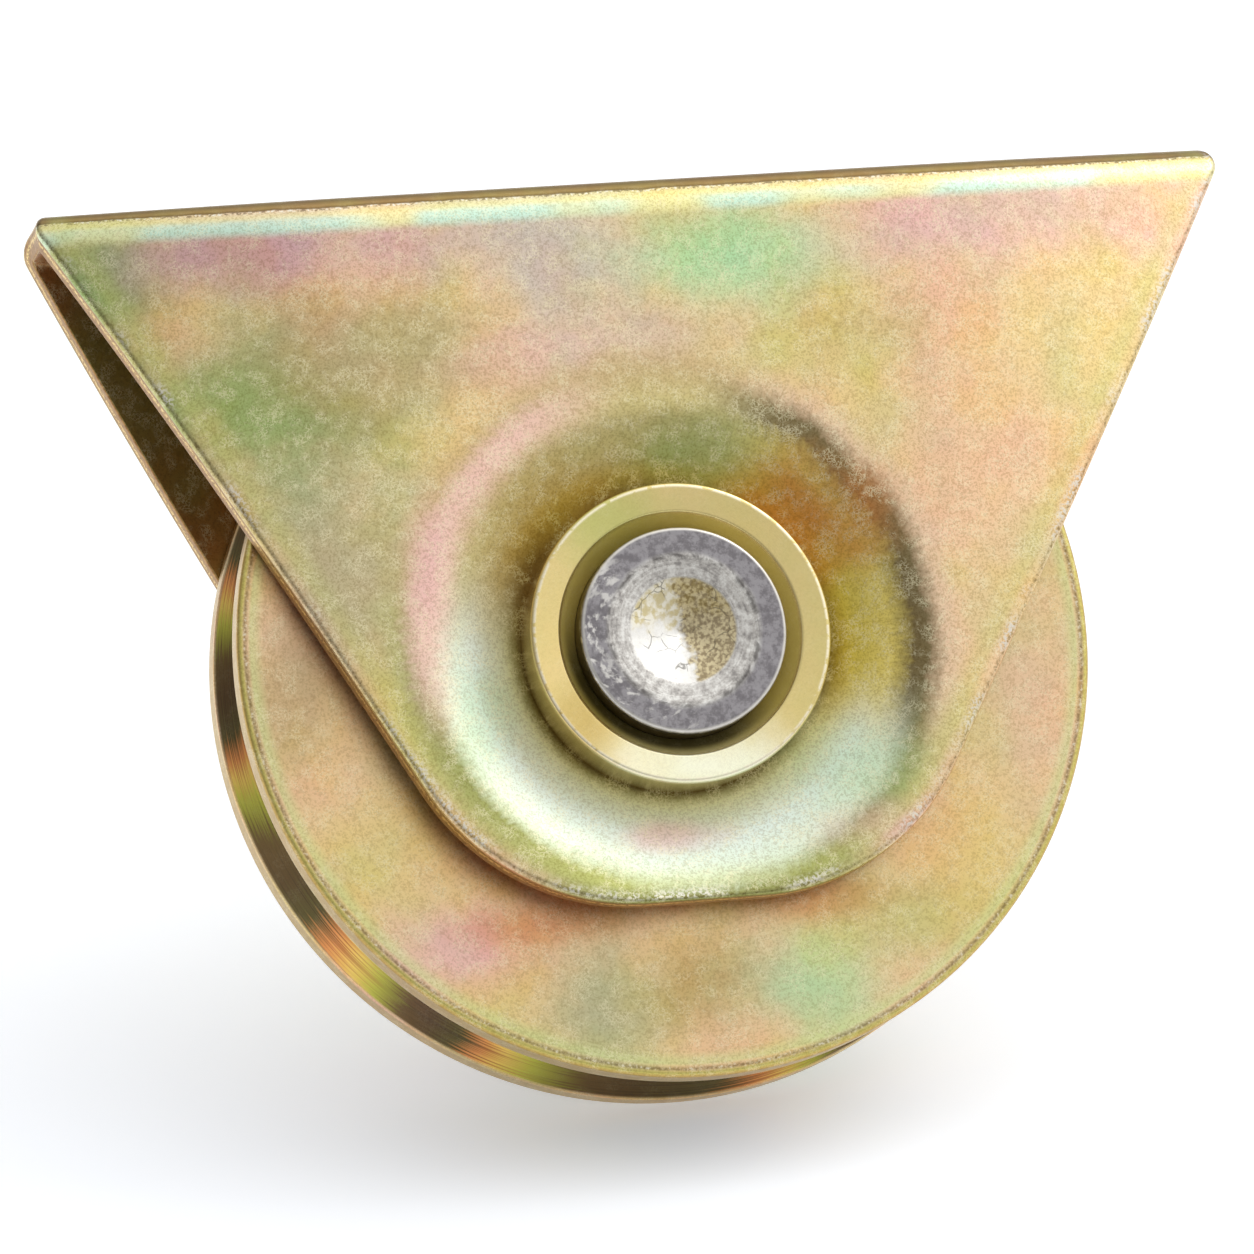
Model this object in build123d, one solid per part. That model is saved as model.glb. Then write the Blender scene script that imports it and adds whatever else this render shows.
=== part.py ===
"""V-groove guide wheel in a pinched sheet bracket, in millimetres.

The wheel's centre is the origin. The wheel turns about Y, the rail runs along X and +Z points up
to the gate that the bracket carries. The front wing lies on the -Y side.
"""
from build123d import *
from math import cos, radians, sin, tan
import os

# Wheel: turned from solid bar, with a V round its rim
wheel_radius = 40.0
wheel_width = 18.0
rim_land = 3.0
rim_edge_radius = 0.5
groove_half_angle = 45.0
groove_root_width = 2.0
bore_chamfer = 0.6

# Bearing: deep-groove ball bearing with a riveted steel cage and two shields
bearing_bore_radius = 8.5
bearing_outer_radius = 20.0
bearing_width = 12.0
bearing_edge_radius = 0.6
bearing_ring_wall = 2.9
ball_diameter = 6.75
ball_count = 8
ball_clearance = 0.02
race_conformity = 0.52
shield_thickness = 0.4
shield_inset = 0.4
shield_seat_depth = 0.9
shield_gap = 0.15
cage_thickness = 0.5
cage_half_breadth = 1.7
cage_ball_clearance = 0.1
rivet_radius = 0.5
rivet_head_radius = 0.85
rivet_head_height = 0.35

# Bore shoulder at the back and retaining ring at the front, which hold the bearing in the wheel
shoulder_step = 2.2
bore_face_inset = 1.5
ring_groove_clearance = 0.05
ring_groove_depth = 1.25
ring_breadth = 3.0
ring_lug_reach = 2.4
ring_lug_angle = 13.0
ring_opening_angle = 24.0
ring_hole_radius = 1.25

# Bracket: one sheet folded over the wheel, wide over the wheel and pinched to a hem at both ends
sheet = 3.0
wheel_side_gap = 0.7
wheel_top_gap = 1.0
hem_half_gap = 1.2
wing_spread_angle = 2.0
fold_inner_radius = 0.8
fold_rise = 1.6
pinch_start = 25.0
pinch_run_left = 32.0
pinch_run_right = 37.0
pinch_stations = 6
wing_reach_left = 31.4
wing_reach_right = 32.9
wing_lean_left = 27.8
wing_lean_right = 31.0
wing_drop = 24.5
wing_corner_radius = 22.2
fold_corner_radius = 2.4
fold_corner_margin = 0.6
cut_edge_radius = 0.6

# Round dish pressed inwards into each wing
dish_depth = 3.3
dish_floor_radius = 17.0
dish_slope = 40.0
dish_floor_bend = 5.5
dish_inner_rim_bend = 1.2

# Collar ring, spacer and swaged axle pin
collar_height = 5.3
collar_rim_breadth = 2.6
collar_edge_radius = 0.4
collar_face_drop = 0.3
collar_cone_breadth = 1.8
collar_cone_depth = 1.5
spacer_wall = 2.7
pin_swage_breadth = 1.1
pin_end_rise = 1.2
pin_end_length = 3.6
pin_flare_length = 0.8
pin_edge_radius = 0.4
pin_land_radius = 7.0
pin_land_drop = 0.35
pin_centre_radius = 5.1
pin_centre_depth = 1.5

# How far a cutting shape or an untrimmed edge runs past what it cuts
cut_overrun = 10.0
trim_allowance = 2.0

# Places worked out from the sizes above
half_width = wheel_width / 2
half_bearing = bearing_width / 2
bore_step_face = half_width - bore_face_inset
groove_mouth = half_width - rim_land
groove_depth = (groove_mouth - groove_root_width / 2) / tan(radians(groove_half_angle))
inner_shoulder_radius = bearing_bore_radius + bearing_ring_wall
outer_shoulder_radius = bearing_outer_radius - bearing_ring_wall
pitch_radius = (inner_shoulder_radius + outer_shoulder_radius) / 2
ball_radius = ball_diameter / 2
race_radius = race_conformity * ball_diameter
gap_over_wheel = half_width + wheel_side_gap
fold_inner_height = wheel_radius + wheel_top_gap
untrimmed_foot = -(wing_drop + trim_allowance)
wing_half_gap_at_axle = gap_over_wheel + fold_inner_height * tan(radians(wing_spread_angle))
wing_face_at_axle = wing_half_gap_at_axle + sheet
dish_floor = wing_face_at_axle - dish_depth
spacer_end = dish_floor - sheet
spacer_radius = bearing_bore_radius + spacer_wall
pin_end_radius = bearing_bore_radius + pin_swage_breadth
collar_cone_radius = pin_end_radius + collar_cone_breadth
collar_radius = collar_cone_radius + collar_rim_breadth
collar_face = dish_floor + collar_height
pin_end = collar_face + pin_end_rise
flare_end = pin_end - pin_end_length
flare_start = flare_end - pin_flare_length
seat_radius = bearing_outer_radius + ring_groove_depth
ring_outer_radius = seat_radius - ring_groove_clearance
ring_thickness = bore_step_face - half_bearing


def turned(points, rounds=()):
    """Revolves an outline of (radius, y) points about Y, after rounding the corners in rounds."""
    outline = make_face(Polyline(*points, close=True).edges())
    for index, radius in rounds:
        corner = outline.vertices().sort_by_distance(Vertex(*points[index], 0))[0]
        outline = fillet(corner, radius)
    return revolve(outline, Axis.Y)


def mirrored(points):
    """The same outline on the other side of the wheel's middle plane, in the same turning sense."""
    return [(radius, -y) for radius, y in reversed(points)]


def ball_angles():
    """Angles of the balls about the axle, in degrees."""
    return [index * 360 / ball_count for index in range(ball_count)]


def around_axle(shape, angle):
    """Turns a shape about the axle by an angle in degrees."""
    return shape.rotate(Axis.Y, angle)


def wheel():
    """Turned V-groove wheel with a bore that has a shoulder at the back and a ring groove in front."""
    ring_groove_start = -bore_step_face - 2 * ring_groove_clearance
    shoulder_radius = bearing_outer_radius - shoulder_step
    rim = wheel_radius
    root = wheel_radius - groove_depth
    half_root = groove_root_width / 2
    points = [
        (bearing_outer_radius + bore_chamfer, -half_width),
        (rim, -half_width),
        (rim, -groove_mouth),
        (root, -half_root),
        (root, half_root),
        (rim, groove_mouth),
        (rim, half_width),
        (bearing_outer_radius + bore_chamfer, half_width),
        (bearing_outer_radius, half_width - bore_chamfer),
        (bearing_outer_radius, bore_step_face),
        (shoulder_radius, bore_step_face),
        (shoulder_radius, half_bearing),
        (bearing_outer_radius, half_bearing),
        (bearing_outer_radius, -half_bearing),
        (seat_radius, -half_bearing),
        (seat_radius, ring_groove_start),
        (bearing_outer_radius, ring_groove_start),
        (bearing_outer_radius, -half_width + bore_chamfer),
    ]
    rounds = [(index, rim_edge_radius) for index in (1, 2, 5, 6)]
    return turned(points, rounds)


def retaining_ring():
    """Open spring ring in the wheel's groove, with a lug and a plier hole at each side of its gap."""
    inner_radius = ring_outer_radius - ring_breadth
    lug_radius = inner_radius - ring_lug_reach
    plane = Plane.XZ.offset(half_bearing)
    band = plane * (Circle(ring_outer_radius) - Circle(inner_radius))
    lug_band = plane * (Circle(inner_radius + ring_breadth / 2) - Circle(lug_radius))
    half_opening = ring_opening_angle / 2
    lug_end = half_opening + ring_lug_angle
    reach = (ring_outer_radius + cut_overrun) / cos(radians(lug_end))
    lugs = lug_band & plane * sector(reach, -lug_end, lug_end)
    outline = band + lugs - plane * sector(reach, -half_opening, half_opening)
    ring = extrude(outline, ring_thickness)
    hole_reach = (lug_radius + ring_outer_radius - ring_breadth / 2) / 2
    for side in (-1, 1):
        turn = side * (half_opening + ring_lug_angle / 2)
        place = plane * Pos(hole_reach * sin(radians(turn)), -hole_reach * cos(radians(turn)))
        ring -= extrude(place * Circle(ring_hole_radius), ring_thickness)
    return ring


def sector(reach, start, end):
    """Triangle from the centre to a distance past the ring, between two angles from straight down."""
    sides = [(reach * sin(radians(angle)), -reach * cos(radians(angle))) for angle in (start, end)]
    return make_face(Polyline((0, 0), *sides, close=True).edges())


def bearing_inner_ring():
    """Inner ring with its ball track. Its track is cut by a torus that stands off the balls."""
    track_radius = pitch_radius - ball_radius - ball_clearance
    points = [
        (bearing_bore_radius, -half_bearing),
        (inner_shoulder_radius, -half_bearing),
        (inner_shoulder_radius, half_bearing),
        (bearing_bore_radius, half_bearing),
    ]
    ring = turned(points, [(index, bearing_edge_radius) for index in (0, 3)])
    track = Rotation(90, 0, 0) * Torus(track_radius + race_radius, race_radius)
    return ring - track


def bearing_outer_ring():
    """Outer ring with its ball track and a step at each face for a shield."""
    track_radius = pitch_radius + ball_radius + ball_clearance
    step_radius = outer_shoulder_radius + shield_seat_depth
    step = half_bearing - shield_inset - shield_thickness
    points = [
        (step_radius, -half_bearing),
        (bearing_outer_radius, -half_bearing),
        (bearing_outer_radius, half_bearing),
        (step_radius, half_bearing),
        (step_radius, step),
        (outer_shoulder_radius, step),
        (outer_shoulder_radius, -step),
        (step_radius, -step),
    ]
    ring = turned(points, [(index, bearing_edge_radius) for index in (1, 2)])
    track = Rotation(90, 0, 0) * Torus(track_radius - race_radius, race_radius)
    return ring - track


def bearing_shield(side):
    """Thin pressed shield that closes the gap between the two rings."""
    inner_face = side * (half_bearing - shield_inset - shield_thickness)
    outer_face = side * (half_bearing - shield_inset)
    inner_radius = inner_shoulder_radius + shield_gap
    outer_radius = outer_shoulder_radius + shield_seat_depth
    return ring_between(inner_radius, outer_radius, inner_face, outer_face)


def ring_between(inner_radius, outer_radius, start, end):
    """Plain ring about the axle between two places along Y."""
    points = [(inner_radius, start), (outer_radius, start), (outer_radius, end), (inner_radius, end)]
    return turned(points)


def ball_place(radius, angle):
    """Sphere on the pitch circle, with its poles towards the axle and away from it."""
    sphere = Rotation(90, 0, 0) * Rotation(0, 90, 0) * Sphere(radius)
    return around_axle(Pos(pitch_radius, 0, 0) * sphere, angle)


def bearing_ball(angle):
    """One ball on the pitch circle."""
    return ball_place(ball_radius, angle)


def cage_half(side):
    """Pressed half cage: a flat ribbon with a round pocket at each ball and a rivet hole between."""
    inner_radius = pitch_radius - cage_half_breadth
    outer_radius = pitch_radius + cage_half_breadth
    pocket_radius = ball_radius + cage_ball_clearance
    ribbon = ring_between(inner_radius, outer_radius, 0, cage_thickness)
    band = ring_between(inner_radius, outer_radius, 0, ball_diameter)
    for angle in ball_angles():
        ribbon += ball_place(pocket_radius + cage_thickness, angle) & band
    for angle in ball_angles():
        ribbon -= ball_place(pocket_radius, angle)
        ribbon -= around_axle(rivet_shank(), angle + 180 / ball_count)
    return ribbon if side > 0 else ribbon.mirror(Plane.XZ)


def rivet_shank():
    """Shank of a cage rivet, on the pitch circle and through both halves."""
    shank = Cylinder(rivet_radius, 2 * cage_thickness)
    return Pos(pitch_radius, 0, 0) * Rotation(90, 0, 0) * shank


def cage_rivet(angle):
    """Rivet between two balls, with a flat head on each half cage."""
    rivet = rivet_shank()
    for side in (-1, 1):
        middle = side * (cage_thickness + rivet_head_height / 2)
        head = Cylinder(rivet_head_radius, rivet_head_height)
        rivet += Pos(pitch_radius, middle, 0) * Rotation(90, 0, 0) * head
    return around_axle(rivet, angle)


def pinch_run(side):
    """Length over which an end of the bracket is drawn in, on the left or the right."""
    return pinch_run_left if side < 0 else pinch_run_right


def pinch(x):
    """How far the bracket is drawn in at x, from 0 over the wheel to 1 at the hem.

    The sheet bends like a beam that is held over the wheel and pressed at its end.
    """
    share = max(abs(x) - pinch_start, 0) / pinch_run(x)
    return share ** 2 * (3 - share) / 2


def bracket_section(x, skin):
    """Closed cross-section of the bracket at x, grown by skin from its inner surface."""
    top = fold_inner_height + fold_rise * pinch(x) + skin
    spread = tan(radians(wing_spread_angle))
    half_gap = hem_half_gap + (gap_over_wheel - hem_half_gap) * (1 - pinch(x))
    half_top = half_gap + skin * (1 - spread)
    half_foot = gap_over_wheel + (fold_inner_height - untrimmed_foot) * spread + skin
    corners = [(-half_foot, untrimmed_foot), (-half_top, top), (half_top, top), (half_foot, untrimmed_foot)]
    outline = make_face(Polyline(*corners, close=True).edges())
    bends = outline.vertices().sort_by(Axis.Y)[-2:]
    return Plane.YZ.offset(x) * fillet(bends, fold_inner_radius + skin)


def bracket_body(skin):
    """Solid inside one surface of the sheet: straight over the wheel and drawn in towards each end."""
    middle = extrude(bracket_section(-pinch_start, skin), 2 * pinch_start)
    for side in (-1, 1):
        step = pinch_run(side) / (pinch_stations - 1)
        stations = [side * (pinch_start + index * step) for index in range(pinch_stations)]
        middle += loft([bracket_section(x, skin) for x in stations])
    return middle


def wing_outline():
    """Side view of the folded bracket: slanted sides, large lower corners and a short flat foot."""
    top = fold_inner_height + fold_rise + sheet + fold_corner_margin
    lean_left = tan(radians(wing_lean_left))
    lean_right = tan(radians(wing_lean_right))
    corners = [
        (-wing_reach_left - lean_left * top, top),
        (wing_reach_right + lean_right * top, top),
        (wing_reach_right - lean_right * wing_drop, -wing_drop),
        (-wing_reach_left + lean_left * wing_drop, -wing_drop),
    ]
    outline = make_face(Polyline(*corners, close=True).edges())
    low = outline.vertices().group_by(Axis.Y)[0]
    outline = fillet(low, wing_corner_radius)
    high = outline.vertices().group_by(Axis.Y)[-1]
    return fillet(high, fold_corner_radius)


def dish_solid(skin):
    """Solid that fills the rear dish down to the sheet's outer surface, or to its inner one at skin 0."""
    inset = sheet - skin
    slope = radians(dish_slope)
    floor = dish_floor - inset
    floor_radius = dish_floor_radius + inset * tan(slope / 2)
    rise = dish_depth + cut_overrun
    lip = (floor_radius + rise / tan(slope), floor + rise)
    points = [(0, floor), (floor_radius, floor), lip, (0, lip[1])]
    return turned(points, [(1, dish_floor_bend + inset)])


def dished_body(skin):
    """Bracket body inside one surface of the sheet, with a round-edged dish sunk into each side."""
    body = bracket_body(skin)
    for turn in (0, 180):
        dish = Rotation(0, 0, turn) * dish_solid(skin)
        sunk = body - dish
        rim = new_edges(body, dish, combined=sunk)
        body = fillet(rim, dish_inner_rim_bend + skin)
    return body


def bracket():
    """Folded sheet with a dish in each wing and a hole for the axle pin."""
    half_through = wing_face_at_axle + cut_overrun
    folded = dished_body(sheet)
    blank = extrude(Plane.XZ * wing_outline(), half_through, both=True)
    trimmed = folded & blank
    cut_edges = new_edges(folded, blank, combined=trimmed)
    trimmed = fillet(cut_edges, cut_edge_radius)
    hole = Rotation(90, 0, 0) * Cylinder(bearing_bore_radius, 2 * half_through)
    return trimmed - dished_body(0) - hole


def spacer(side):
    """Sleeve between the bearing's inner ring and the dish."""
    points = [
        (bearing_bore_radius, half_bearing),
        (spacer_radius, half_bearing),
        (spacer_radius, spacer_end),
        (bearing_bore_radius, spacer_end),
    ]
    shape = turned(points)
    return shape if side > 0 else shape.mirror(Plane.XZ)


def collar(side):
    """Turned ring in the dish, with a countersink round the pin and a face that falls outwards."""
    cone_start = collar_face - collar_face_drop - collar_cone_depth
    points = [
        (bearing_bore_radius, dish_floor),
        (collar_radius, dish_floor),
        (collar_radius, collar_face),
        (collar_cone_radius, collar_face - collar_face_drop),
        (pin_end_radius, cone_start),
        (pin_end_radius, flare_end),
        (bearing_bore_radius, flare_start),
    ]
    shape = turned(points, [(2, collar_edge_radius)])
    return shape if side > 0 else shape.mirror(Plane.XZ)


def axle_pin():
    """Steel pin with both ends swaged over the collars and dished in the middle."""
    end = [
        (bearing_bore_radius, flare_start),
        (pin_end_radius, flare_end),
        (pin_end_radius, pin_end),
        (pin_land_radius, pin_end),
        (pin_centre_radius, pin_end - pin_land_drop),
        (0, pin_end - pin_land_drop - pin_centre_depth),
    ]
    points = mirrored(end) + end
    rounds = [(3, pin_edge_radius), (8, pin_edge_radius)]
    return turned(points, rounds)


def nodes():
    """Every piece by the name of its node."""
    pieces = {
        "bracket": bracket(),
        "wheel": wheel(),
        "axle_pin": axle_pin(),
        "retaining_ring": retaining_ring(),
        "bearing_inner_ring": bearing_inner_ring(),
        "bearing_outer_ring": bearing_outer_ring(),
    }
    for side, name in ((-1, "front"), (1, "rear")):
        pieces[f"collar_{name}"] = collar(side)
        pieces[f"spacer_{name}"] = spacer(side)
        pieces[f"bearing_shield_{name}"] = bearing_shield(side)
        pieces[f"bearing_cage_{name}"] = cage_half(side)
    for index, angle in enumerate(ball_angles(), start=1):
        pieces[f"bearing_ball_{index}"] = bearing_ball(angle)
        pieces[f"cage_rivet_{index}"] = cage_rivet(angle + 180 / ball_count)
    return pieces


os.makedirs("parts", exist_ok=True)
for node_name, shape in nodes().items():
    export_step(shape, f"parts/{node_name}.step")
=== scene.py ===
"""Looks of a V-groove guide wheel that runs in a folded, dished sheet bracket.

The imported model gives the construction. This script gives each piece its finish: iridescent yellow
zinc on the bracket, the wheel and the collars, and bare swaged steel on the pin. The pieces that
show are rebuilt here from the same sizes as smooth meshes, with rounded sheared edges and turned
corners. All lengths are in metres, the wheel's centre is the origin and the wheel turns about Y.
"""
from __future__ import annotations

import logging
import math
from dataclasses import dataclass, field
from enum import Enum
from functools import cached_property
from typing import Any, Iterable, Sequence

import bmesh
import bpy
import numpy as np
from mathutils import Matrix, Vector, noise

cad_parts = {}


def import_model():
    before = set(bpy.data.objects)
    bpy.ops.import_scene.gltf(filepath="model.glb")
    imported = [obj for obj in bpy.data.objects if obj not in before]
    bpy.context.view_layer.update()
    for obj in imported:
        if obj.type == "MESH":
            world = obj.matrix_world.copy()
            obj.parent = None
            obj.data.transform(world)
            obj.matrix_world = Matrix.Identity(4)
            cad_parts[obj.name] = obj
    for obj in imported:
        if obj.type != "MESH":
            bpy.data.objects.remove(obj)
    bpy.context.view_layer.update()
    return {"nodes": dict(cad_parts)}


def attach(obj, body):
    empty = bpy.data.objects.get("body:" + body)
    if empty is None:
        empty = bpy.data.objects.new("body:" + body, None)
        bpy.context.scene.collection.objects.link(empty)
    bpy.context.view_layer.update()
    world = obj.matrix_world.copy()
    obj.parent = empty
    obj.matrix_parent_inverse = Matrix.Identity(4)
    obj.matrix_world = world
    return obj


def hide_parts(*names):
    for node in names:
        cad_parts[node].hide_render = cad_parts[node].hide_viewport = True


log = logging.getLogger("guide_wheel")

MM = 0.001
FAR_AWAY = 9.0
Array = np.ndarray
Colour = tuple[float, float, float]
Span = tuple[float, float]
Line = tuple[float, float, float]
Stops = tuple[tuple[float, Colour], ...]


class Grain(Enum):
    """Which way the fine marks of a finish run."""

    ROLLED = "random short marks of rolled and tumbled sheet"
    TURNED = "rings about the axle, from the lathe"


class End(Enum):
    """The two ends of the axle, by the sign of their Y."""

    FRONT = -1
    REAR = 1

    @property
    def word(self) -> str:
        """The end's name in lower case, as the nodes have it."""
        return self.name.lower()


def linear(red: int, green: int, blue: int) -> Colour:
    """Turns a display colour of three parts from 0 to 255 into the linear one that a shader takes."""
    parts = (red / 255, green / 255, blue / 255)
    return tuple(p / 12.92 if p <= 0.04045 else ((p + 0.055) / 1.055) ** 2.4 for p in parts)


class Value:
    """A number that varies over a surface: a socket that takes part in Python arithmetic."""

    def __init__(self, tree: NodeTree, socket: bpy.types.NodeSocket) -> None:
        """Wraps an output socket of a tree."""
        self.tree = tree
        self.socket = socket

    def _maths(self, operation: str, *operands: Any) -> Value:
        """Adds a Math node whose operands are values or plain numbers, and returns its result."""
        inputs = dict(enumerate(operands))
        return self.tree.value("ShaderNodeMath", {"operation": operation}, inputs)

    def __add__(self, other: Any) -> Value:
        """Sum."""
        return self._maths("ADD", self, other)

    def __radd__(self, other: Any) -> Value:
        """Sum with a plain number first."""
        return self._maths("ADD", other, self)

    def __sub__(self, other: Any) -> Value:
        """Difference."""
        return self._maths("SUBTRACT", self, other)

    def __rsub__(self, other: Any) -> Value:
        """Difference with a plain number first."""
        return self._maths("SUBTRACT", other, self)

    def __mul__(self, other: Any) -> Value:
        """Product."""
        return self._maths("MULTIPLY", self, other)

    def __rmul__(self, other: Any) -> Value:
        """Product with a plain number first."""
        return self._maths("MULTIPLY", other, self)

    def __truediv__(self, other: Any) -> Value:
        """Quotient."""
        return self._maths("DIVIDE", self, other)

    def __rtruediv__(self, other: Any) -> Value:
        """Quotient with a plain number first."""
        return self._maths("DIVIDE", other, self)

    def root(self) -> Value:
        """Square root."""
        return self._maths("SQRT", self)

    def angle_with(self, down: Value) -> Value:
        """Angle, in radians, of the direction that has this part and another one."""
        return self._maths("ARCTAN2", self, down)

    def fraction(self) -> Value:
        """What is left past the last whole number."""
        return self._maths("FRACT", self)

    def size(self) -> Value:
        """Value without its sign."""
        return self._maths("ABSOLUTE", self)

    def at_most(self, limit: Any) -> Value:
        """The smaller of this and a limit."""
        return self._maths("MINIMUM", self, limit)

    def at_least(self, limit: Any) -> Value:
        """The larger of this and a limit."""
        return self._maths("MAXIMUM", self, limit)

    def ramp(self, start: float, end: float, full: float = 1.0) -> Value:
        """Runs smoothly from 0 at start to a full value at end, and holds past both.

        Args:
            start: Where it is 0, which may be above or below end.
            end: Where it is full.
            full: The full value.

        Returns:
            The ramp.
        """
        low, high = (0.0, full) if start < end else (full, 0.0)
        settings = {"interpolation_type": "SMOOTHSTEP", "clamp": True}
        limits = {"From Min": min(start, end), "From Max": max(start, end), "To Min": low, "To Max": high}
        return self.tree.value("ShaderNodeMapRange", settings, {"Value": self, **limits})

    def ramp_linear(self, start: float, end: float) -> Value:
        """Runs straight from 0 at start to 1 at end, and holds past both."""
        inputs = {"Value": self, "From Min": start, "From Max": end}
        return self.tree.value("ShaderNodeMapRange", {"clamp": True}, inputs)

    def band(self, start: float, peak: float, end: float) -> Value:
        """Rises smoothly from start to 1 at peak and falls back to 0 at end."""
        return self.ramp(start, peak) * self.ramp(end, peak)


class NodeTree:
    """Builds a node tree through one method for nodes and a few short forms."""

    def __init__(self, tree: bpy.types.NodeTree) -> None:
        """Takes over an emptied tree."""
        self.tree = tree
        self.tree.nodes.clear()

    def node(self, kind: str, settings: dict | None = None, inputs: dict | None = None) -> bpy.types.Node:
        """Adds a node, with its settings set before its sockets.

        Args:
            kind: The node's type.
            settings: Properties by name. The key stops holds a colour ramp's (place, colour) pairs.
            inputs: Numbers, colours, sockets, nodes or values, by the socket's name or number.

        Returns:
            The new node.
        """
        made = self.tree.nodes.new(kind)
        for key, setting in (settings or {}).items():
            if key == "stops":
                self._set_stops(made.color_ramp, setting)
            else:
                setattr(made, key, setting)
        for key, given in (inputs or {}).items():
            self._feed(made.inputs[key], given)
        return made

    def _set_stops(self, ramp: bpy.types.ColorRamp, stops: Stops) -> None:
        """Gives a colour ramp its stops.

        Args:
            ramp: The ramp.
            stops: Pairs of a place from 0 to 1 and a linear colour.
        """
        while len(ramp.elements) < len(stops):
            ramp.elements.new(1.0)
        for element, (place, colour) in zip(ramp.elements, stops):
            element.position = place
            element.color = (*colour, 1.0)

    def _feed(self, socket: bpy.types.NodeSocket, given: Any) -> None:
        """Links or sets one input socket.

        Args:
            socket: The socket to feed.
            given: A value, a node, a socket, a number, a colour, a named colour or a datablock.
        """
        if isinstance(given, Enum):
            given = given.value
        if isinstance(given, Value):
            given = given.socket
        if isinstance(given, bpy.types.Node):
            given = given.outputs[0]
        if isinstance(given, bpy.types.NodeSocket):
            self.tree.links.new(given, socket)
        elif isinstance(given, tuple) and socket.type == "RGBA":
            socket.default_value = (*given, 1.0)
        else:
            socket.default_value = given

    def value(self, kind: str, settings: dict, inputs: dict, output: int | str = 0) -> Value:
        """Adds a node and wraps one of its outputs as a number."""
        return Value(self, self.node(kind, settings, inputs).outputs[output])

    def colour_mix(self, share: Any, first: Any, second: Any, blend: str = "MIX") -> bpy.types.NodeSocket:
        """Mixes two colours: the first at share 0 and the second at share 1."""
        settings = {"data_type": "RGBA", "blend_type": blend}
        return self.node("ShaderNodeMix", settings, {0: share, 6: first, 7: second}).outputs[2]

    def colour_row(self, stops: Stops, place: Value) -> bpy.types.NodeSocket:
        """The colour at a place from 0 to 1 along a row of colours."""
        return self.node("ShaderNodeValToRGB", {"stops": stops}, {0: place}).outputs[0]

    def vector(self, operation: str, *operands: Any) -> bpy.types.Node:
        """Adds a Vector Math node with vectors or vector sockets as operands."""
        return self.node("ShaderNodeVectorMath", {"operation": operation}, dict(enumerate(operands)))


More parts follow.
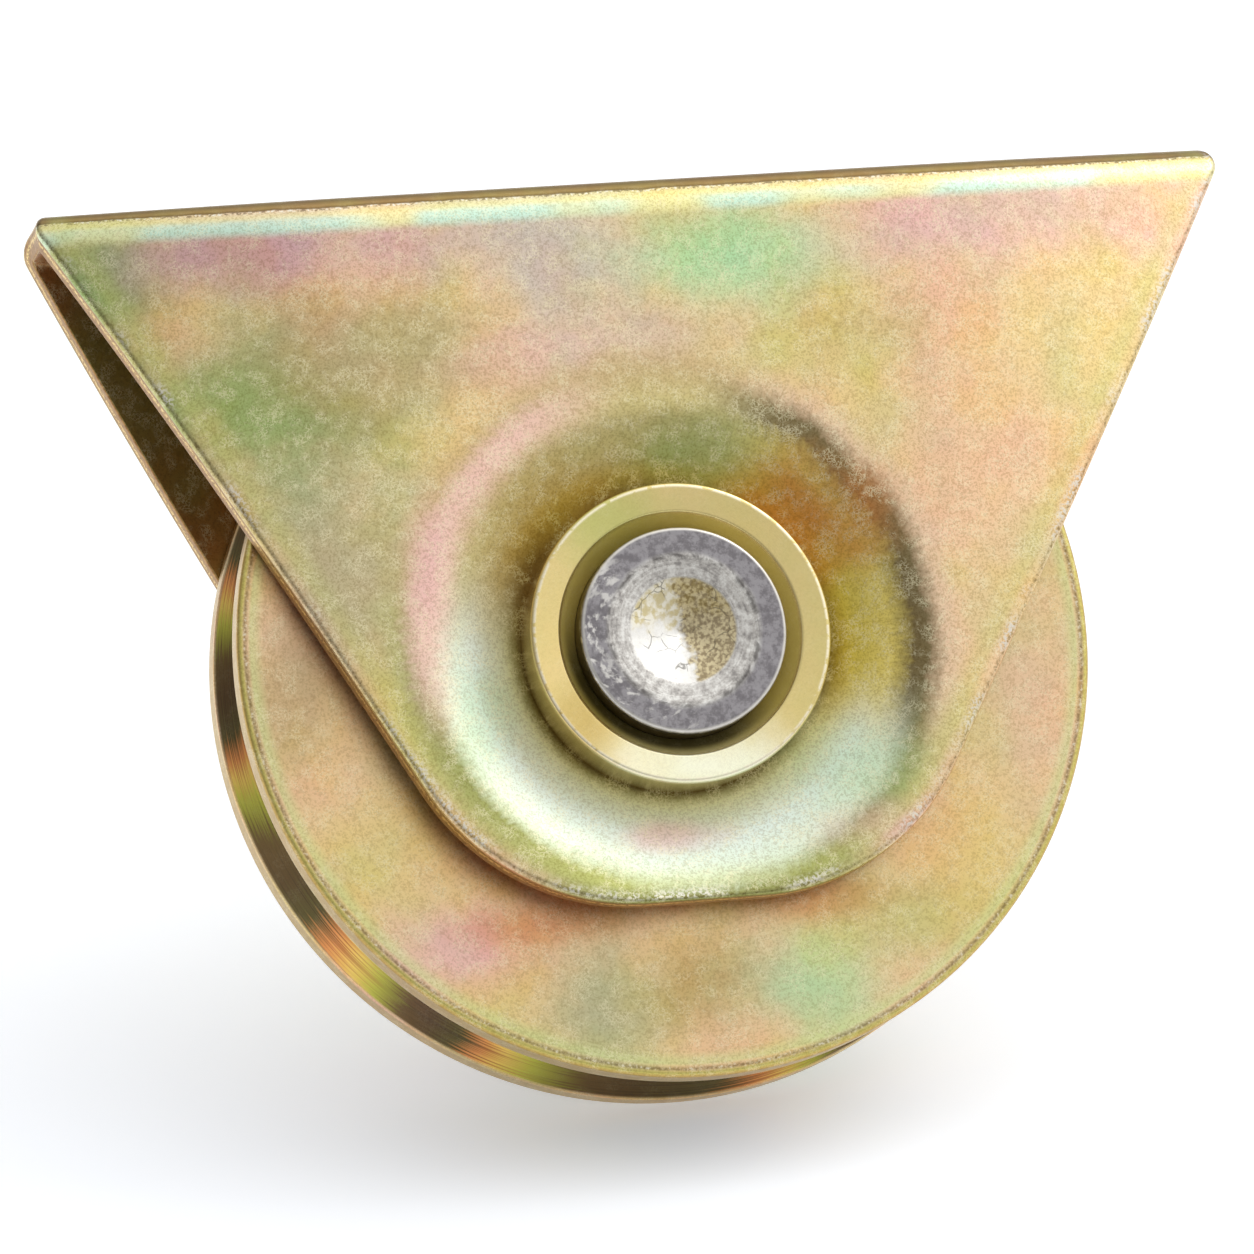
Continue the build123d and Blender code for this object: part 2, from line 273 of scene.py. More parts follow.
class Surface(NodeTree):
    """A material's node tree, with the coordinates and patterns that this object's finishes share.

    It keeps the colour and the roughness that have been built up so far.
    """

    def __init__(self, name: str) -> None:
        """Creates the material."""
        self.material = bpy.data.materials.new(name)
        self.material.use_nodes = True
        super().__init__(self.material.node_tree)
        self.place = self.node("ShaderNodeTexCoord").outputs["Object"]
        axes = self.node("ShaderNodeSeparateXYZ", None, {0: self.place})
        self.x, self.y, self.z = (Value(self, axes.outputs[index]) / MM for index in range(3))
        self.colour: Any = None
        self.rough: Any = None

    def radius(self) -> Value:
        """Distance from the axle, in millimetres."""
        return (self.x * self.x + self.z * self.z).root()

    def facing(self, way: float) -> Value:
        """How far a point lies a way that is an angle from the right upwards: 1 on it, -1 opposite."""
        along = self.x * math.cos(way) + self.z * math.sin(way)
        return along / self.radius().at_least(1.0)

    def apart(self, x: float, z: float, wide: float, high: float) -> Value:
        """Distance from a place in the side view, as a share of a width and a height.

        Args:
            x: The place's X, in millimetres.
            z: The place's Z, in millimetres.
            wide: The distance along X that counts as 1, in millimetres.
            high: The distance along Z that counts as 1, in millimetres.

        Returns:
            The distance.
        """
        scale = (1 / (wide * MM), 0.0, 1 / (high * MM))
        moved = self.vector("MULTIPLY_ADD", self.place, scale, (-x / wide, 0.0, -z / high))
        return Value(self, self.vector("LENGTH", moved).outputs["Value"])

    def around(self, radial: float, turning: float, axial: float) -> bpy.types.NodeSocket:
        """Coordinates that run with the lathe, with no seam.

        Args:
            radial: Pattern steps for a millimetre outwards.
            turning: Pattern steps for a radian round the axle.
            axial: Pattern steps for a millimetre along the axle.

        Returns:
            A vector socket.
        """
        reach = self.radius().at_least(0.01)
        parts = {
            0: self.x / reach * turning + reach * radial,
            1: self.y * axial + reach * radial,
            2: self.z / reach * turning,
        }
        return self.node("ShaderNodeCombineXYZ", None, parts).outputs[0]

    def noise(self, steps: float, detail: float = 2.0, at: Any = None, roughness: float = 0.5) -> Value:
        """Soft noise from 0 to 1.

        Args:
            steps: Features in a millimetre.
            detail: Octaves of finer noise.
            at: Coordinates in place of the object's own.
            roughness: Strength of each finer octave.

        Returns:
            The noise.
        """
        scale = steps / MM if at is None else steps
        vector = self.place if at is None else at
        inputs = {"Vector": vector, "Scale": scale, "Detail": detail, "Roughness": roughness}
        return self.value("ShaderNodeTexNoise", {"noise_dimensions": "3D"}, inputs)

    def cracks(self, steps: float) -> Value:
        """Distance to the lines of a crazed pattern with a number of cells in a millimetre, in cells."""
        wobble = self.node("ShaderNodeTexNoise", None, {"Vector": self.place, "Scale": 1.3 * steps / MM})
        bend = (0.4 * MM / steps,) * 3
        moved = self.vector("MULTIPLY_ADD", wobble.outputs["Color"], bend, self.place)
        inputs = {"Vector": moved, "Scale": steps / MM}
        settings = {"feature": "DISTANCE_TO_EDGE"}
        return self.value("ShaderNodeTexVoronoi", settings, inputs, "Distance")

    def contours(self, steps: float, width: float, offset: float = 0.0) -> Value:
        """Thin curling lines along the middle level of a noise, 1 on a line.

        Args:
            steps: Features in a millimetre.
            width: Half the line's width, as a share of the noise's range.
            offset: Shift that gives another pattern, in millimetres.

        Returns:
            The lines.
        """
        moved = self.vector("ADD", self.place, (offset * MM,) * 3)
        level = self.noise(steps / MM, 1.0, moved)
        return (level - 0.5).size().ramp(width, 0.3 * width)

    def attribute(self, name: str) -> Value:
        """A number stored on the mesh's vertices."""
        return self.value("ShaderNodeAttribute", {"attribute_name": name}, {}, "Fac")

    def coat(self, *coats: tuple[Any, Any], blend: str = "MIX") -> None:
        """Lays tints over the surface's colour, one after the other.

        Args:
            coats: Pairs of a share and its tint, the lowest first.
            blend: The Mix node's blend type.
        """
        for share, tint in coats:
            self.colour = self.colour_mix(share, self.colour, tint, blend)

    def finish(self, metal: Value | float, height: Value, depth: float) -> bpy.types.Material:
        """Adds the surface shader, with the colour and roughness so far, and the output.

        Args:
            metal: How metallic the surface is.
            height: The relief from 0 to 1.
            depth: The relief's depth in metres.

        Returns:
            The finished material.
        """
        normal = self.node("ShaderNodeBump", None, {"Height": height, "Distance": depth})
        inputs = {"Base Color": self.colour, "Metallic": metal, "Roughness": self.rough, "Normal": normal}
        shader = self.node("ShaderNodeBsdfPrincipled", None, inputs)
        self.node("ShaderNodeOutputMaterial", None, {"Surface": shader})
        return self.material


class Film(Enum):
    """Colours that the zinc's film takes as its thickness changes."""

    LEAF = linear(150, 180, 108)
    LIME = linear(202, 204, 124)
    MINT = linear(192, 230, 176)
    SAGE = linear(190, 188, 148)
    KHAKI = linear(204, 176, 134)
    STRAW = linear(238, 212, 148)
    PEACH = linear(244, 206, 166)
    ROSE = linear(244, 194, 190)
    MAUVE = linear(216, 172, 180)
    PEARL = linear(210, 202, 192)
    ORANGE = linear(214, 132, 62)
    GOLD = linear(196, 164, 84)
    # Not a film colour: the paint of a highlight low on the collar's face.
    PALE = linear(254, 253, 226)


class Tint(Enum):
    """Colours of marks, edges and places that have one of their own, and of painted highlights, glints and
    shade.
    """

    HOLLOW = linear(180, 166, 134)
    SCRATCH = linear(254, 246, 206)
    DISH_ROSE = linear(252, 208, 198)
    # Yellow, mint and lemon of the painted highlight along the bend.
    BEND_YELLOW = linear(246, 240, 170)
    BEND_MINT = linear(208, 246, 226)
    BEND_LEMON = linear(248, 240, 140)
    CREST_BROWN = linear(180, 144, 86)
    CREST_TAN = linear(184, 160, 90)
    CREST_SHADE = linear(96, 76, 40)
    GRIT_DARK = linear(90, 66, 50)
    GRIT_LIGHT = linear(250, 246, 232)
    EDGE_GREEN = linear(206, 208, 124)
    EDGE_DARK = linear(104, 84, 48)
    EDGE_WORN = linear(226, 222, 212)
    CUT_BROWN = linear(146, 106, 60)
    CUT_TAN = linear(188, 146, 90)
    BURR = linear(255, 226, 150)
    INSIDE_OLIVE = linear(150, 128, 60)
    INSIDE_RUST = linear(168, 104, 48)
    SCORED = linear(96, 74, 34)
    LAND = linear(190, 158, 84)
    RIM_DARK = linear(112, 96, 60)
    RIM_WORN = linear(240, 236, 214)
    RIM_YELLOW = linear(228, 224, 128)
    RIM_GREEN = linear(214, 230, 160)
    COLLAR_LINE = linear(255, 246, 220)
    COLLAR_WALL = linear(206, 190, 110)
    COLLAR_CONE = linear(206, 190, 84)
    COLLAR_FOOT = linear(50, 40, 14)
    LAND_GREY = linear(120, 116, 120)
    LAND_PALE = linear(150, 146, 150)
    STROKE = linear(244, 241, 234)
    STEP_DARK = linear(82, 78, 76)
    CENTRE_WHITE = linear(250, 248, 242)
    GOLD_DEEP = linear(214, 198, 146)
    GOLD_PALE = linear(246, 240, 220)
    OLIVE_DEEP = linear(138, 114, 58)
    OLIVE_PALE = linear(214, 196, 146)
    CRACK = linear(46, 38, 28)
    SHANK = linear(150, 134, 84)
    PIN_RIM = linear(240, 236, 226)


@dataclass(frozen=True)
class Cloud:
    """A soft cloud of one film colour, placed in the side view in millimetres."""

    x: float
    z: float
    wide: float
    high: float
    film: Film
    share: float


@dataclass(frozen=True)
class Finish:
    """A finish. Its methods lay its marks one after the other on one surface.

    Lengths are in millimetres, apart from the relief, and patterns are sized in steps for a
    millimetre. A span is where something starts and where it is full, and a line is where it
    starts, is full and ends.
    """

    name: str

    @cached_property
    def surface(self) -> Surface:
        """The material being built, made when it is first asked for."""
        return Surface(self.name)


@dataclass(frozen=True)
class YellowZinc(Finish):
    """Yellow passivated zinc: a thin film whose colour drifts over bright metal."""

    film: float = 0.50
    drift: float = 0.5
    drift_steps: float = 0.06
    jitter: float = 0.08
    jitter_steps: float = 0.9
    film_stops: Stops = (
        (0.00, Film.SAGE.value),
        (0.20, Film.LIME.value),
        (0.40, Film.STRAW.value),
        (0.58, Film.PEACH.value),
        (0.76, Film.ROSE.value),
        (0.90, Film.PEARL.value),
        (1.00, Film.MINT.value),
    )
    clouds: tuple[Cloud, ...] = ()
    cloud_core: float = 0.1
    cloud_end: float = 1.25
    patches: float = 0.42
    patch_kinds: tuple[tuple[float, Colour, Colour], ...] = (
        (0.085, linear(255, 232, 238), linear(228, 255, 226)),
        (0.14, linear(255, 250, 206), linear(236, 246, 255)),
    )
    grain: float = 0.4
    # Painted shade in the peel's hollows, and a painted glint on its scratches.
    hollows: Span = (0.56, 0.38)
    scratch_share: float = 0.9
    roughness: float = 0.34
    roughness_drift: float = 0.12
    relief: float = 0.014 * MM

    def film_place(self) -> Value:
        """Where on the film's row of colours each point lies, from 0 to 1."""
        drift = self.surface.noise(self.drift_steps, 3.0)
        fine = self.surface.noise(self.jitter_steps, 3.0)
        place = self.film + (drift - 0.5) * self.drift + (fine - 0.5) * self.jitter
        return place.at_least(0.0).at_most(1.0)

    def add_clouds(self, clouds: Sequence[Cloud]) -> None:
        """Adds clouds of other film colours, with wandering soft borders.

        Args:
            clouds: The clouds, the lowest first.
        """
        surface = self.surface
        wander = (surface.noise(0.11, 3.0) - 0.5) * 1.3 + (surface.noise(1.1, 2.0) - 0.5) * 0.2
        for cloud in clouds:
            apart = surface.apart(cloud.x, cloud.z, cloud.wide, cloud.high) + wander
            surface.coat((apart.ramp(self.cloud_end, self.cloud_core, cloud.share), cloud.film))

    def add_patches(self) -> None:
        """Breaks the film up into soft patches of rose and green, and of yellow and blue."""
        for steps, low, high in self.patch_kinds:
            level = self.surface.noise(steps, 2.0)
            for end, tint in ((0.34, low), (0.66, high)):
                self.surface.coat((level.ramp(0.50, end, self.patches), tint), blend="MULTIPLY")

    def relief_height(self) -> Value:
        """The fine peel in the metal, from 0 to 1."""
        return self.surface.noise(3.4, 2.0) * 0.5 + self.surface.noise(6.4, 1.0) * 0.5

    def scratches(self) -> Value:
        """Short curled scratches, 1 on a scratch."""
        surface = self.surface
        lines = surface.contours(2.3, 0.045).at_least(surface.contours(3.4, 0.055, 7.0))
        return lines * surface.noise(0.7, 3.0).ramp(0.42, 0.62)

    def grain_share(self) -> Value | float:
        """How strongly the grain shows."""
        return self.grain

    def metal(self) -> Value | float:
        """How metallic the surface is."""
        return 1.0

    def dress(self) -> None:
        """Adds what this piece alone has. The base finish adds nothing."""

    def add_grain(self, height: Value) -> None:
        """Darkens the peel's hollows with painted shade and brightens its scratches with a painted glint.

        Args:
            height: The peel's relief from 0 to 1.
        """
        share = self.grain_share()
        self.surface.coat((height.ramp(*self.hollows) * share, Tint.HOLLOW), blend="MULTIPLY")
        self.surface.coat((self.scratches() * share * self.scratch_share, Tint.SCRATCH))

    def make(self) -> bpy.types.Material:
        """Builds the material."""
        surface = self.surface
        surface.colour = surface.colour_row(self.film_stops, self.film_place())
        surface.rough = self.roughness + (surface.noise(0.6, 3.0) - 0.5) * self.roughness_drift
        self.add_clouds(self.clouds)
        self.add_patches()
        self.dress()
        height = self.relief_height()
        self.add_grain(height)
        return surface.finish(self.metal(), height, self.relief)


@dataclass(frozen=True)
class SheetZinc(YellowZinc):
    """The bracket's finish, with painted light and shade on the dish, a painted highlight along the bend, a
    brown crest and sheared edges.

    The mesh carries edge_mm, the distance from the sheared edge, fold_mm, the distance past the
    start of the bend, and inside, which is 1 on the inner skin. The rings lie round the axle.
    """

    dish_clouds: tuple[Cloud, ...] = ()
    dish: Span = (14.0, 28.0)
    dish_wander: Span = (15.0, 19.0)
    dish_fade: Span = (1.0, 0.76)
    lit_side: float = math.radians(240.0)
    # The next two ways choose where the dish's painted upper tone and painted shade show.
    upper_side: float = math.radians(115.0)
    right_side: float = math.radians(22.0)
    rosy_side: float = math.radians(150.0)
    pearly_ring: Line = (14.0, 15.8, 23.0)
    rosy_ring: Line = (20.0, 23.6, 26.5)
    bright_bend: Line = (-0.7, 0.4, 3.6)
    lemon_bend: Span = (1.0, 1.8)
    crest_start: float = 2.3
    crest_fade: Span = (4.5, 8.0)
    green_line: Line = (0.7, 1.8, 4.0)
    dark_line: Line = (-0.05, 0.25, 0.7)
    worn_line: Line = (0.0, 0.5, 1.5)
    burr_line: Line = (-0.62, -0.5, -0.38)
    cut: Span = (0.0, -0.35)
    # Painted light on the lit side: a painted shadow at the collar's foot, a pale painted highlight up the
    # slope, then olive towards the rim.
    lit_stops: Stops = (
        (0.00, linear(84, 70, 34)),
        (0.10, linear(224, 224, 178)),
        (0.34, linear(238, 252, 244)),
        (0.56, linear(232, 246, 222)),
        (0.72, linear(152, 158, 94)),
        (0.92, linear(182, 184, 122)),
    )
    # Painted shade on the right: a painted shadow at the collar's foot, gold up the slope, a dark painted
    # band near the rim, then rose.
    shade_stops: Stops = (
        (0.03, linear(96, 78, 32)),
        (0.20, linear(214, 194, 80)),
        (0.44, linear(236, 216, 116)),
        (0.60, linear(118, 104, 68)),
        (0.68, linear(114, 102, 70)),
        (0.82, linear(230, 200, 168)),
    )
    # Painted tone at the top: a painted shadow at the collar's foot, then olive to tan.
    upper_stops: Stops = (
        (0.03, linear(110, 84, 40)),
        (0.20, linear(192, 168, 104)),
        (0.60, linear(212, 198, 138)),
        (0.95, linear(210, 178, 136)),
    )

    def dress(self) -> None:
        """Adds the dish's painted light and shade, the fold and the edges."""
        self.add_dish()
        self.add_clouds(self.dish_clouds)
        self.add_fold()
        self.add_edges()

    def metal(self) -> Value:
        """Metallic outside, pearly on the dish's lit wall and duller inside the fold."""
        surface = self.surface
        lit = surface.facing(self.lit_side).ramp(-0.2, 0.3) * surface.radius().band(*self.pearly_ring)
        return 1.0 - surface.attribute("inside") * 0.45 - lit * 0.85

    def grain_share(self) -> Value:
        """Strong on the skin, weaker on the crest and on the cut faces."""
        crest = self.surface.attribute("fold_mm").ramp(self.crest_start - 0.2, self.crest_start + 0.2)
        cut = self.surface.attribute("edge_mm").ramp(*self.cut)
        return (1 - crest.at_least(cut) * 0.75) * self.grain

    def add_dish(self) -> None:
        """Adds painted light and shade that follow the dish's slope.

        A pale painted highlight lies at the lower left, painted shade, dark and gold, at the right and a
        calmer painted tone at the top, each with a painted shadow at the collar's foot, and a rosy arc along
        the rim at the left.
        """
        surface = self.surface
        reach = surface.radius()
        slow = (surface.noise(0.1, 2.0) - 0.5) * 2.0
        quick = (surface.noise(1.0, 3.0, surface.around(0.8, 46.0, 0.8)) - 0.5) * 1.6
        place = (reach + (slow + quick) * reach.ramp(*self.dish_wander)).ramp_linear(*self.dish)
        rows = (self.lit_stops, self.upper_stops, self.shade_stops)
        lit, upper, shade = (surface.colour_row(stops, place) for stops in rows)
        rosy = surface.facing(self.rosy_side).ramp(0.55, 0.92) * (reach + slow + quick).band(*self.rosy_ring)
        # Mixes the painted lit, upper and shaded copies by the way each point faces.
        painted_dish_light = surface.colour_mix(surface.facing(self.upper_side).ramp(0.3, 0.85), lit, upper)
        painted_dish_light = surface.colour_mix(rosy * 0.85, painted_dish_light, Tint.DISH_ROSE)
        painted_dish_light = surface.colour_mix(surface.facing(self.right_side).ramp(0.5, 0.85), painted_dish_light, shade)
        surface.coat((place.ramp(*self.dish_fade, 0.95), painted_dish_light))

    def add_fold(self) -> None:
        """Adds the painted highlight along the bend and the brown crest along the top edge, darker where it
        starts.
        """
        surface = self.surface
        start = self.crest_start
        fold = surface.attribute("fold_mm") + (surface.noise(0.4, 3.0) - 0.5) * 0.5
        drift = surface.noise(0.05, 2.0).ramp(0.44, 0.56)
        # Painted highlight for the bend: yellow drifting to mint, with lemon further up.
        bright = surface.colour_mix(drift, Tint.BEND_YELLOW, Tint.BEND_MINT)
        bright = surface.colour_mix(fold.ramp(*self.lemon_bend, 0.7), bright, Tint.BEND_LEMON)
        streak = surface.noise(0.22, 3.0).ramp(0.3, 0.7)
        brown = surface.colour_mix(streak, Tint.CREST_BROWN, Tint.CREST_TAN)
        brown = surface.colour_mix(fold.ramp(start + 0.7, start), brown, Tint.CREST_SHADE)
        crest = fold.ramp(start, start + 0.25) * (1 - fold.ramp(*self.crest_fade, 0.55))
        line = fold.band(start - 0.3, start, start + 0.25)
        grit = surface.noise(3.0, 2.0)
        # The first coat is the painted highlight along the bend.
        surface.coat(
            (fold.band(*self.bright_bend) * 0.85, bright),
            (crest * 0.95, brown),
            (line * grit.ramp(0.47, 0.41, 0.7), Tint.GRIT_DARK),
            (line * grit.ramp(0.54, 0.60, 0.8), Tint.GRIT_LIGHT),
        )

    def add_edges(self) -> None:
        """Adds the sheared edge: a worn grainy line, a painted highlight along the burr and a tan cut face.
        """
        surface = self.surface
        edge = surface.attribute("edge_mm")
        grit = surface.noise(3.4, 3.0)
        patchy = surface.noise(0.16, 3.0).ramp(0.46, 0.6)
        dark = edge.band(*self.dark_line) * (0.3 + grit.ramp(0.5, 0.36, 0.5))
        worn = edge.band(*self.worn_line) * grit.ramp(0.46, 0.56) * patchy
        streak = surface.noise(2.4, 3.0).ramp(0.3, 0.7)
        warm = surface.noise(0.06, 2.0).ramp(0.4, 0.6)
        cut = edge.ramp(*self.cut)
        surface.coat(
            (edge.band(*self.green_line) * 0.35, Tint.EDGE_GREEN),
            (dark * 0.7, Tint.EDGE_DARK),
            (worn * 0.85, Tint.EDGE_WORN),
            (cut, surface.colour_mix(streak, Tint.CUT_BROWN, Tint.CUT_TAN)),
            # Painted highlight: a bright grainy line along the cut face.
            (edge.band(*self.burr_line) * grit.ramp(0.44, 0.50, 0.85), Tint.BURR),
        )
        inside = surface.colour_mix(warm, Tint.INSIDE_OLIVE, Tint.INSIDE_RUST)
        surface.coat((surface.attribute("inside") * 0.9, inside))
        surface.rough += cut * 0.1


@dataclass(frozen=True)
class WheelZinc(YellowZinc):
    """The wheel's finish, with turning lines, painted reflections streaked round the groove and a rim edge
    with wear and a painted dark reflection.

    Rings lie round the axle, and sides are distances from the middle plane.
    """

    groove_mouth: float = 6.0
    groove_start: Span = (34.0, 34.6)
    groove_zones: int = 12
    # Painted reflections round the groove, from one turn zone to the next.
    groove_stops: Stops = (
        (0.00, linear(84, 60, 28)),
        (0.22, linear(84, 78, 34)),
        (0.38, linear(236, 150, 84)),
        (0.52, linear(252, 212, 104)),
        (0.66, linear(196, 198, 72)),
        (0.82, linear(104, 80, 38)),
        (1.00, linear(84, 60, 28)),
    )
    land_start: Span = (39.3, 39.7)
    face_side: Span = (8.6, 8.9)
    rim_side: Span = (8.3, 8.6)
    worn_ring: Line = (38.9, 39.3, 39.6)
    rim_ring: Line = (39.3, 39.65, 39.95)
    inner_ring: Line = (37.4, 38.7, 39.1)

    def metal(self) -> Value:
        """Metallic, and duller in the groove, so that its painted reflections keep their colours."""
        return 1.0 - self.in_groove() * 0.35

    def in_groove(self) -> Value:
        """1 on the groove's flanks and root."""
        inward = self.surface.y.size().ramp(self.groove_mouth, self.groove_mouth - 0.3)
        return inward * self.surface.radius().ramp(*self.groove_start)

    def grain_share(self) -> Value:
        """No peel where the groove is turned bright."""
        return (1 - self.in_groove() * 0.9) * self.grain

    def relief_height(self) -> Value:
        """Turning rings under the fine peel."""
        rings = self.surface.noise(1.0, 2.0, self.surface.around(3.0, 0.8, 3.0))
        return rings * 0.16 + super().relief_height() * 0.84

    def groove_colour(self) -> bpy.types.NodeSocket:
        """Painted reflections of the turned flanks: streaks of brown, orange, gold and green that follow each
        other round the groove.
        """
        surface = self.surface
        lines = surface.noise(1.0, 3.0, surface.around(5.0, 1.6, 5.0))
        turn = surface.x.angle_with(surface.z * -1.0) / (2 * math.pi) + 0.5
        wander = (lines - 0.5) * 0.4 + (surface.noise(0.035, 1.0) - 0.5) * 1.6
        streaks = surface.colour_row(self.groove_stops, (turn * self.groove_zones + wander).fraction())
        return surface.colour_mix(lines.ramp(0.56, 0.36, 0.5), streaks, Tint.SCORED, "MULTIPLY")

    def dress(self) -> None:
        """Adds the groove's painted reflections and the rim's edge, with wear and a painted dark reflection.
        """
        surface = self.surface
        reach = surface.radius()
        aside = surface.y.size()
        groove = self.in_groove()
        land = aside.ramp(self.groove_mouth, self.groove_mouth + 0.3) * reach.ramp(*self.land_start)
        grit = surface.noise(3.0, 2.0)
        face = aside.ramp(*self.face_side)
        worn = reach.band(*self.worn_ring) * face
        surface.coat(
            (groove * 0.95, self.groove_colour()),
            (land * 0.85, Tint.LAND),
            # Dark line at the face's outer edge: wear, and a painted dark reflection on the rounded rim.
            (worn * (0.4 + grit.ramp(0.54, 0.42, 0.3)), Tint.RIM_DARK),
            (worn * grit.ramp(0.56, 0.62, 0.6), Tint.RIM_WORN),
            (reach.band(*self.rim_ring) * aside.ramp(*self.rim_side, 0.6), Tint.RIM_YELLOW),
            (reach.band(*self.inner_ring) * face * 0.5, Tint.RIM_GREEN),
        )
        surface.rough -= groove * 0.1


@dataclass(frozen=True)
class CollarZinc(YellowZinc):
    """The collars' finish: smooth gold, painted highlights on the rim and the face, and the pin's painted
    shadow.
    """

    film: float = 0.36
    drift: float = 0.2
    jitter: float = 0.04
    patches: float = 0.12
    grain: float = 0.08
    roughness: float = 0.2
    relief: float = 0.002 * MM
    collar_radius: float = 14.0
    cone_radius: float = 11.4
    face_place: float = 16.13

    def in_cone(self) -> Value:
        """1 in the countersink."""
        return self.surface.radius().ramp(self.cone_radius, self.cone_radius - 0.4)

    def metal(self) -> Value:
        """Metallic, and duller in the countersink."""
        return 1.0 - self.in_cone() * 0.5

    def dress(self) -> None:
        """Adds the painted rim highlight, the wall, the countersink's gold and the pin's painted shadow at
        its foot.
        """
        surface = self.surface
        reach = surface.radius()
        aside = surface.y.size()
        rim, face = self.collar_radius, self.face_place
        # Painted highlight: a pale grainy line along the rounded rim of the face.
        line = reach.band(rim - 0.55, rim - 0.3, rim - 0.1) * aside.ramp(face - 0.5, face - 0.2)
        grit = surface.noise(1.4, 2.0).ramp(0.36, 0.5)
        wall = aside.ramp(face - 0.4, face - 1.2) * reach.ramp(rim - 0.4, rim - 0.1)
        # Painted shadow of the pin, dark, at the countersink's foot below and to the left.
        below = (surface.x * -0.45 - surface.z * 0.9) / reach.at_least(1.0)
        foot = reach.ramp(self.cone_radius - 0.1, self.cone_radius - 1.1) * below.ramp(0.1, 0.8)
        surface.coat(
            (line * grit * 0.8, Tint.COLLAR_LINE),
            (wall * 0.5, Tint.COLLAR_WALL),
            (self.in_cone() * 0.6, Tint.COLLAR_CONE),
            (foot * 0.85, Tint.COLLAR_FOOT),
        )


@dataclass(frozen=True)
class SwagedSteel(Finish):
    """Bare grey steel of the pin, pressed and scuffed, with painted light, shade and glints on its ends."""

    land_radius: float
    centre_radius: float
    pin_radius: float
    end_place: float
    relief: float = 0.03 * MM
    steel_stops: Stops = (
        (0.38, linear(156, 152, 148)),
        (0.48, linear(200, 196, 190)),
        (0.58, linear(232, 230, 224)),
    )

    def reach(self) -> Value:
        """The distance from the axle with a slight waver."""
        return self.surface.radius() + (self.surface.noise(0.5, 2.0) - 0.5) * 0.4

    def scuffs(self) -> Value:
        """Scuffs from 0 to 1."""
        return self.surface.noise(1.3, 4.0, None, 0.65)

    def outer(self) -> Value:
        """1 on the flat land round the pressed centre."""
        return self.reach().ramp(self.land_radius - 0.2, self.land_radius + 0.5)

    def step(self) -> Value:
        """1 on the step between the land and the centre."""
        return self.reach().band(self.land_radius - 0.5, self.land_radius, self.land_radius + 0.4)

    def centre(self) -> Value:
        """1 in the pressed centre."""
        return self.surface.radius().ramp(self.centre_radius, self.centre_radius - 0.3)

    def add_land(self) -> None:
        """Adds the darker land with bright strokes of painted glint at its left, and the dark step inside it.
        """
        surface = self.surface
        outer = self.outer()
        grey = surface.colour_mix(self.scuffs().ramp(0.4, 0.6), Tint.LAND_GREY, Tint.LAND_PALE)
        strokes = surface.noise(1.0, 4.0, surface.around(0.8, 7.0, 0.8), 0.6)
        # The painted glints show on the land's left side.
        left = surface.noise(0.35, 2.0) * 6.0 - surface.x * 0.3 - surface.z * 0.1
        surface.coat(
            (outer * 0.9, grey),
            (outer * strokes.ramp(0.52, 0.64) * left.ramp(2.6, 5.6) * 0.7, Tint.STROKE),
            (self.step() * strokes.ramp(0.6, 0.42) * 0.7, Tint.STEP_DARK),
        )

    def add_centre(self) -> None:
        """Adds the pressed centre: painted light, white, with gold half-shade above, olive shade at the right
        and fine cracks.
        """
        surface = self.surface
        centre = self.centre()
        top = surface.z * 0.9 - surface.x * 0.1 + (surface.noise(0.9, 3.0) - 0.5) * 3.0
        gold = surface.colour_mix(surface.noise(1.6, 4.0).ramp(0.4, 0.6), Tint.GOLD_DEEP, Tint.GOLD_PALE)
        right = surface.x + surface.z * 0.2 + (surface.noise(1.1, 3.0) - 0.5) * 3.0
        olive = surface.noise(3.0, 4.0).ramp(0.38, 0.60)
        olive = surface.colour_mix(olive, Tint.OLIVE_DEEP, Tint.OLIVE_PALE)
        crack = surface.cracks(0.55).ramp(0.03, 0.0) * surface.noise(0.5, 2.0).ramp(0.5, 0.58)
        surface.coat(
            # Painted light in the pressed centre: white where lit, gold half-shade above, olive shade at the
            # right.
            (centre * 0.8, Tint.CENTRE_WHITE),
            (centre * top.ramp(0.4, 1.6, 0.9), gold),
            (centre * right.ramp(-0.3, 0.6, 0.85), olive),
            (crack * (centre * 0.6 + 0.05), Tint.CRACK),
        )

    def add_side(self) -> None:
        """Adds the dull shank outside the land, and a painted highlight along the rim round the end."""
        end = self.end_place
        aside = self.surface.y.size()
        shank = aside.ramp(end - 0.5, end - 1.1) * self.reach().ramp(self.land_radius, self.land_radius + 1.0)
        # Painted highlight along the rounded rim of the pin's end.
        rim = self.surface.radius().band(self.pin_radius - 0.45, self.pin_radius - 0.2, self.pin_radius)
        rim = rim * aside.ramp(end - 0.5, end - 0.3)
        self.surface.coat((shank * 0.8, Tint.SHANK), (rim * 0.75, Tint.PIN_RIM))

    def make(self) -> bpy.types.Material:
        """Builds the material."""
        surface = self.surface
        scuffs = self.scuffs()
        centre = self.centre()
        rings = surface.noise(1.0, 3.0, surface.around(3.2, 1.6, 2.0))
        fine = surface.noise(4.0, 3.0)
        surface.colour = surface.colour_row(self.steel_stops, scuffs * 0.55 + rings * 0.25 + fine * 0.2)
        self.add_land()
        self.add_centre()
        self.add_side()
        worn = (self.outer() + self.step()) * 0.12
        surface.rough = 0.12 + worn + (1 - centre) * (scuffs * 0.1 + 0.04)
        height = (scuffs * 0.6 + rings * 0.25 + fine * 0.15) * (1 - centre * 0.8)
        return surface.finish(1.0 - centre * 0.15, height, self.relief)


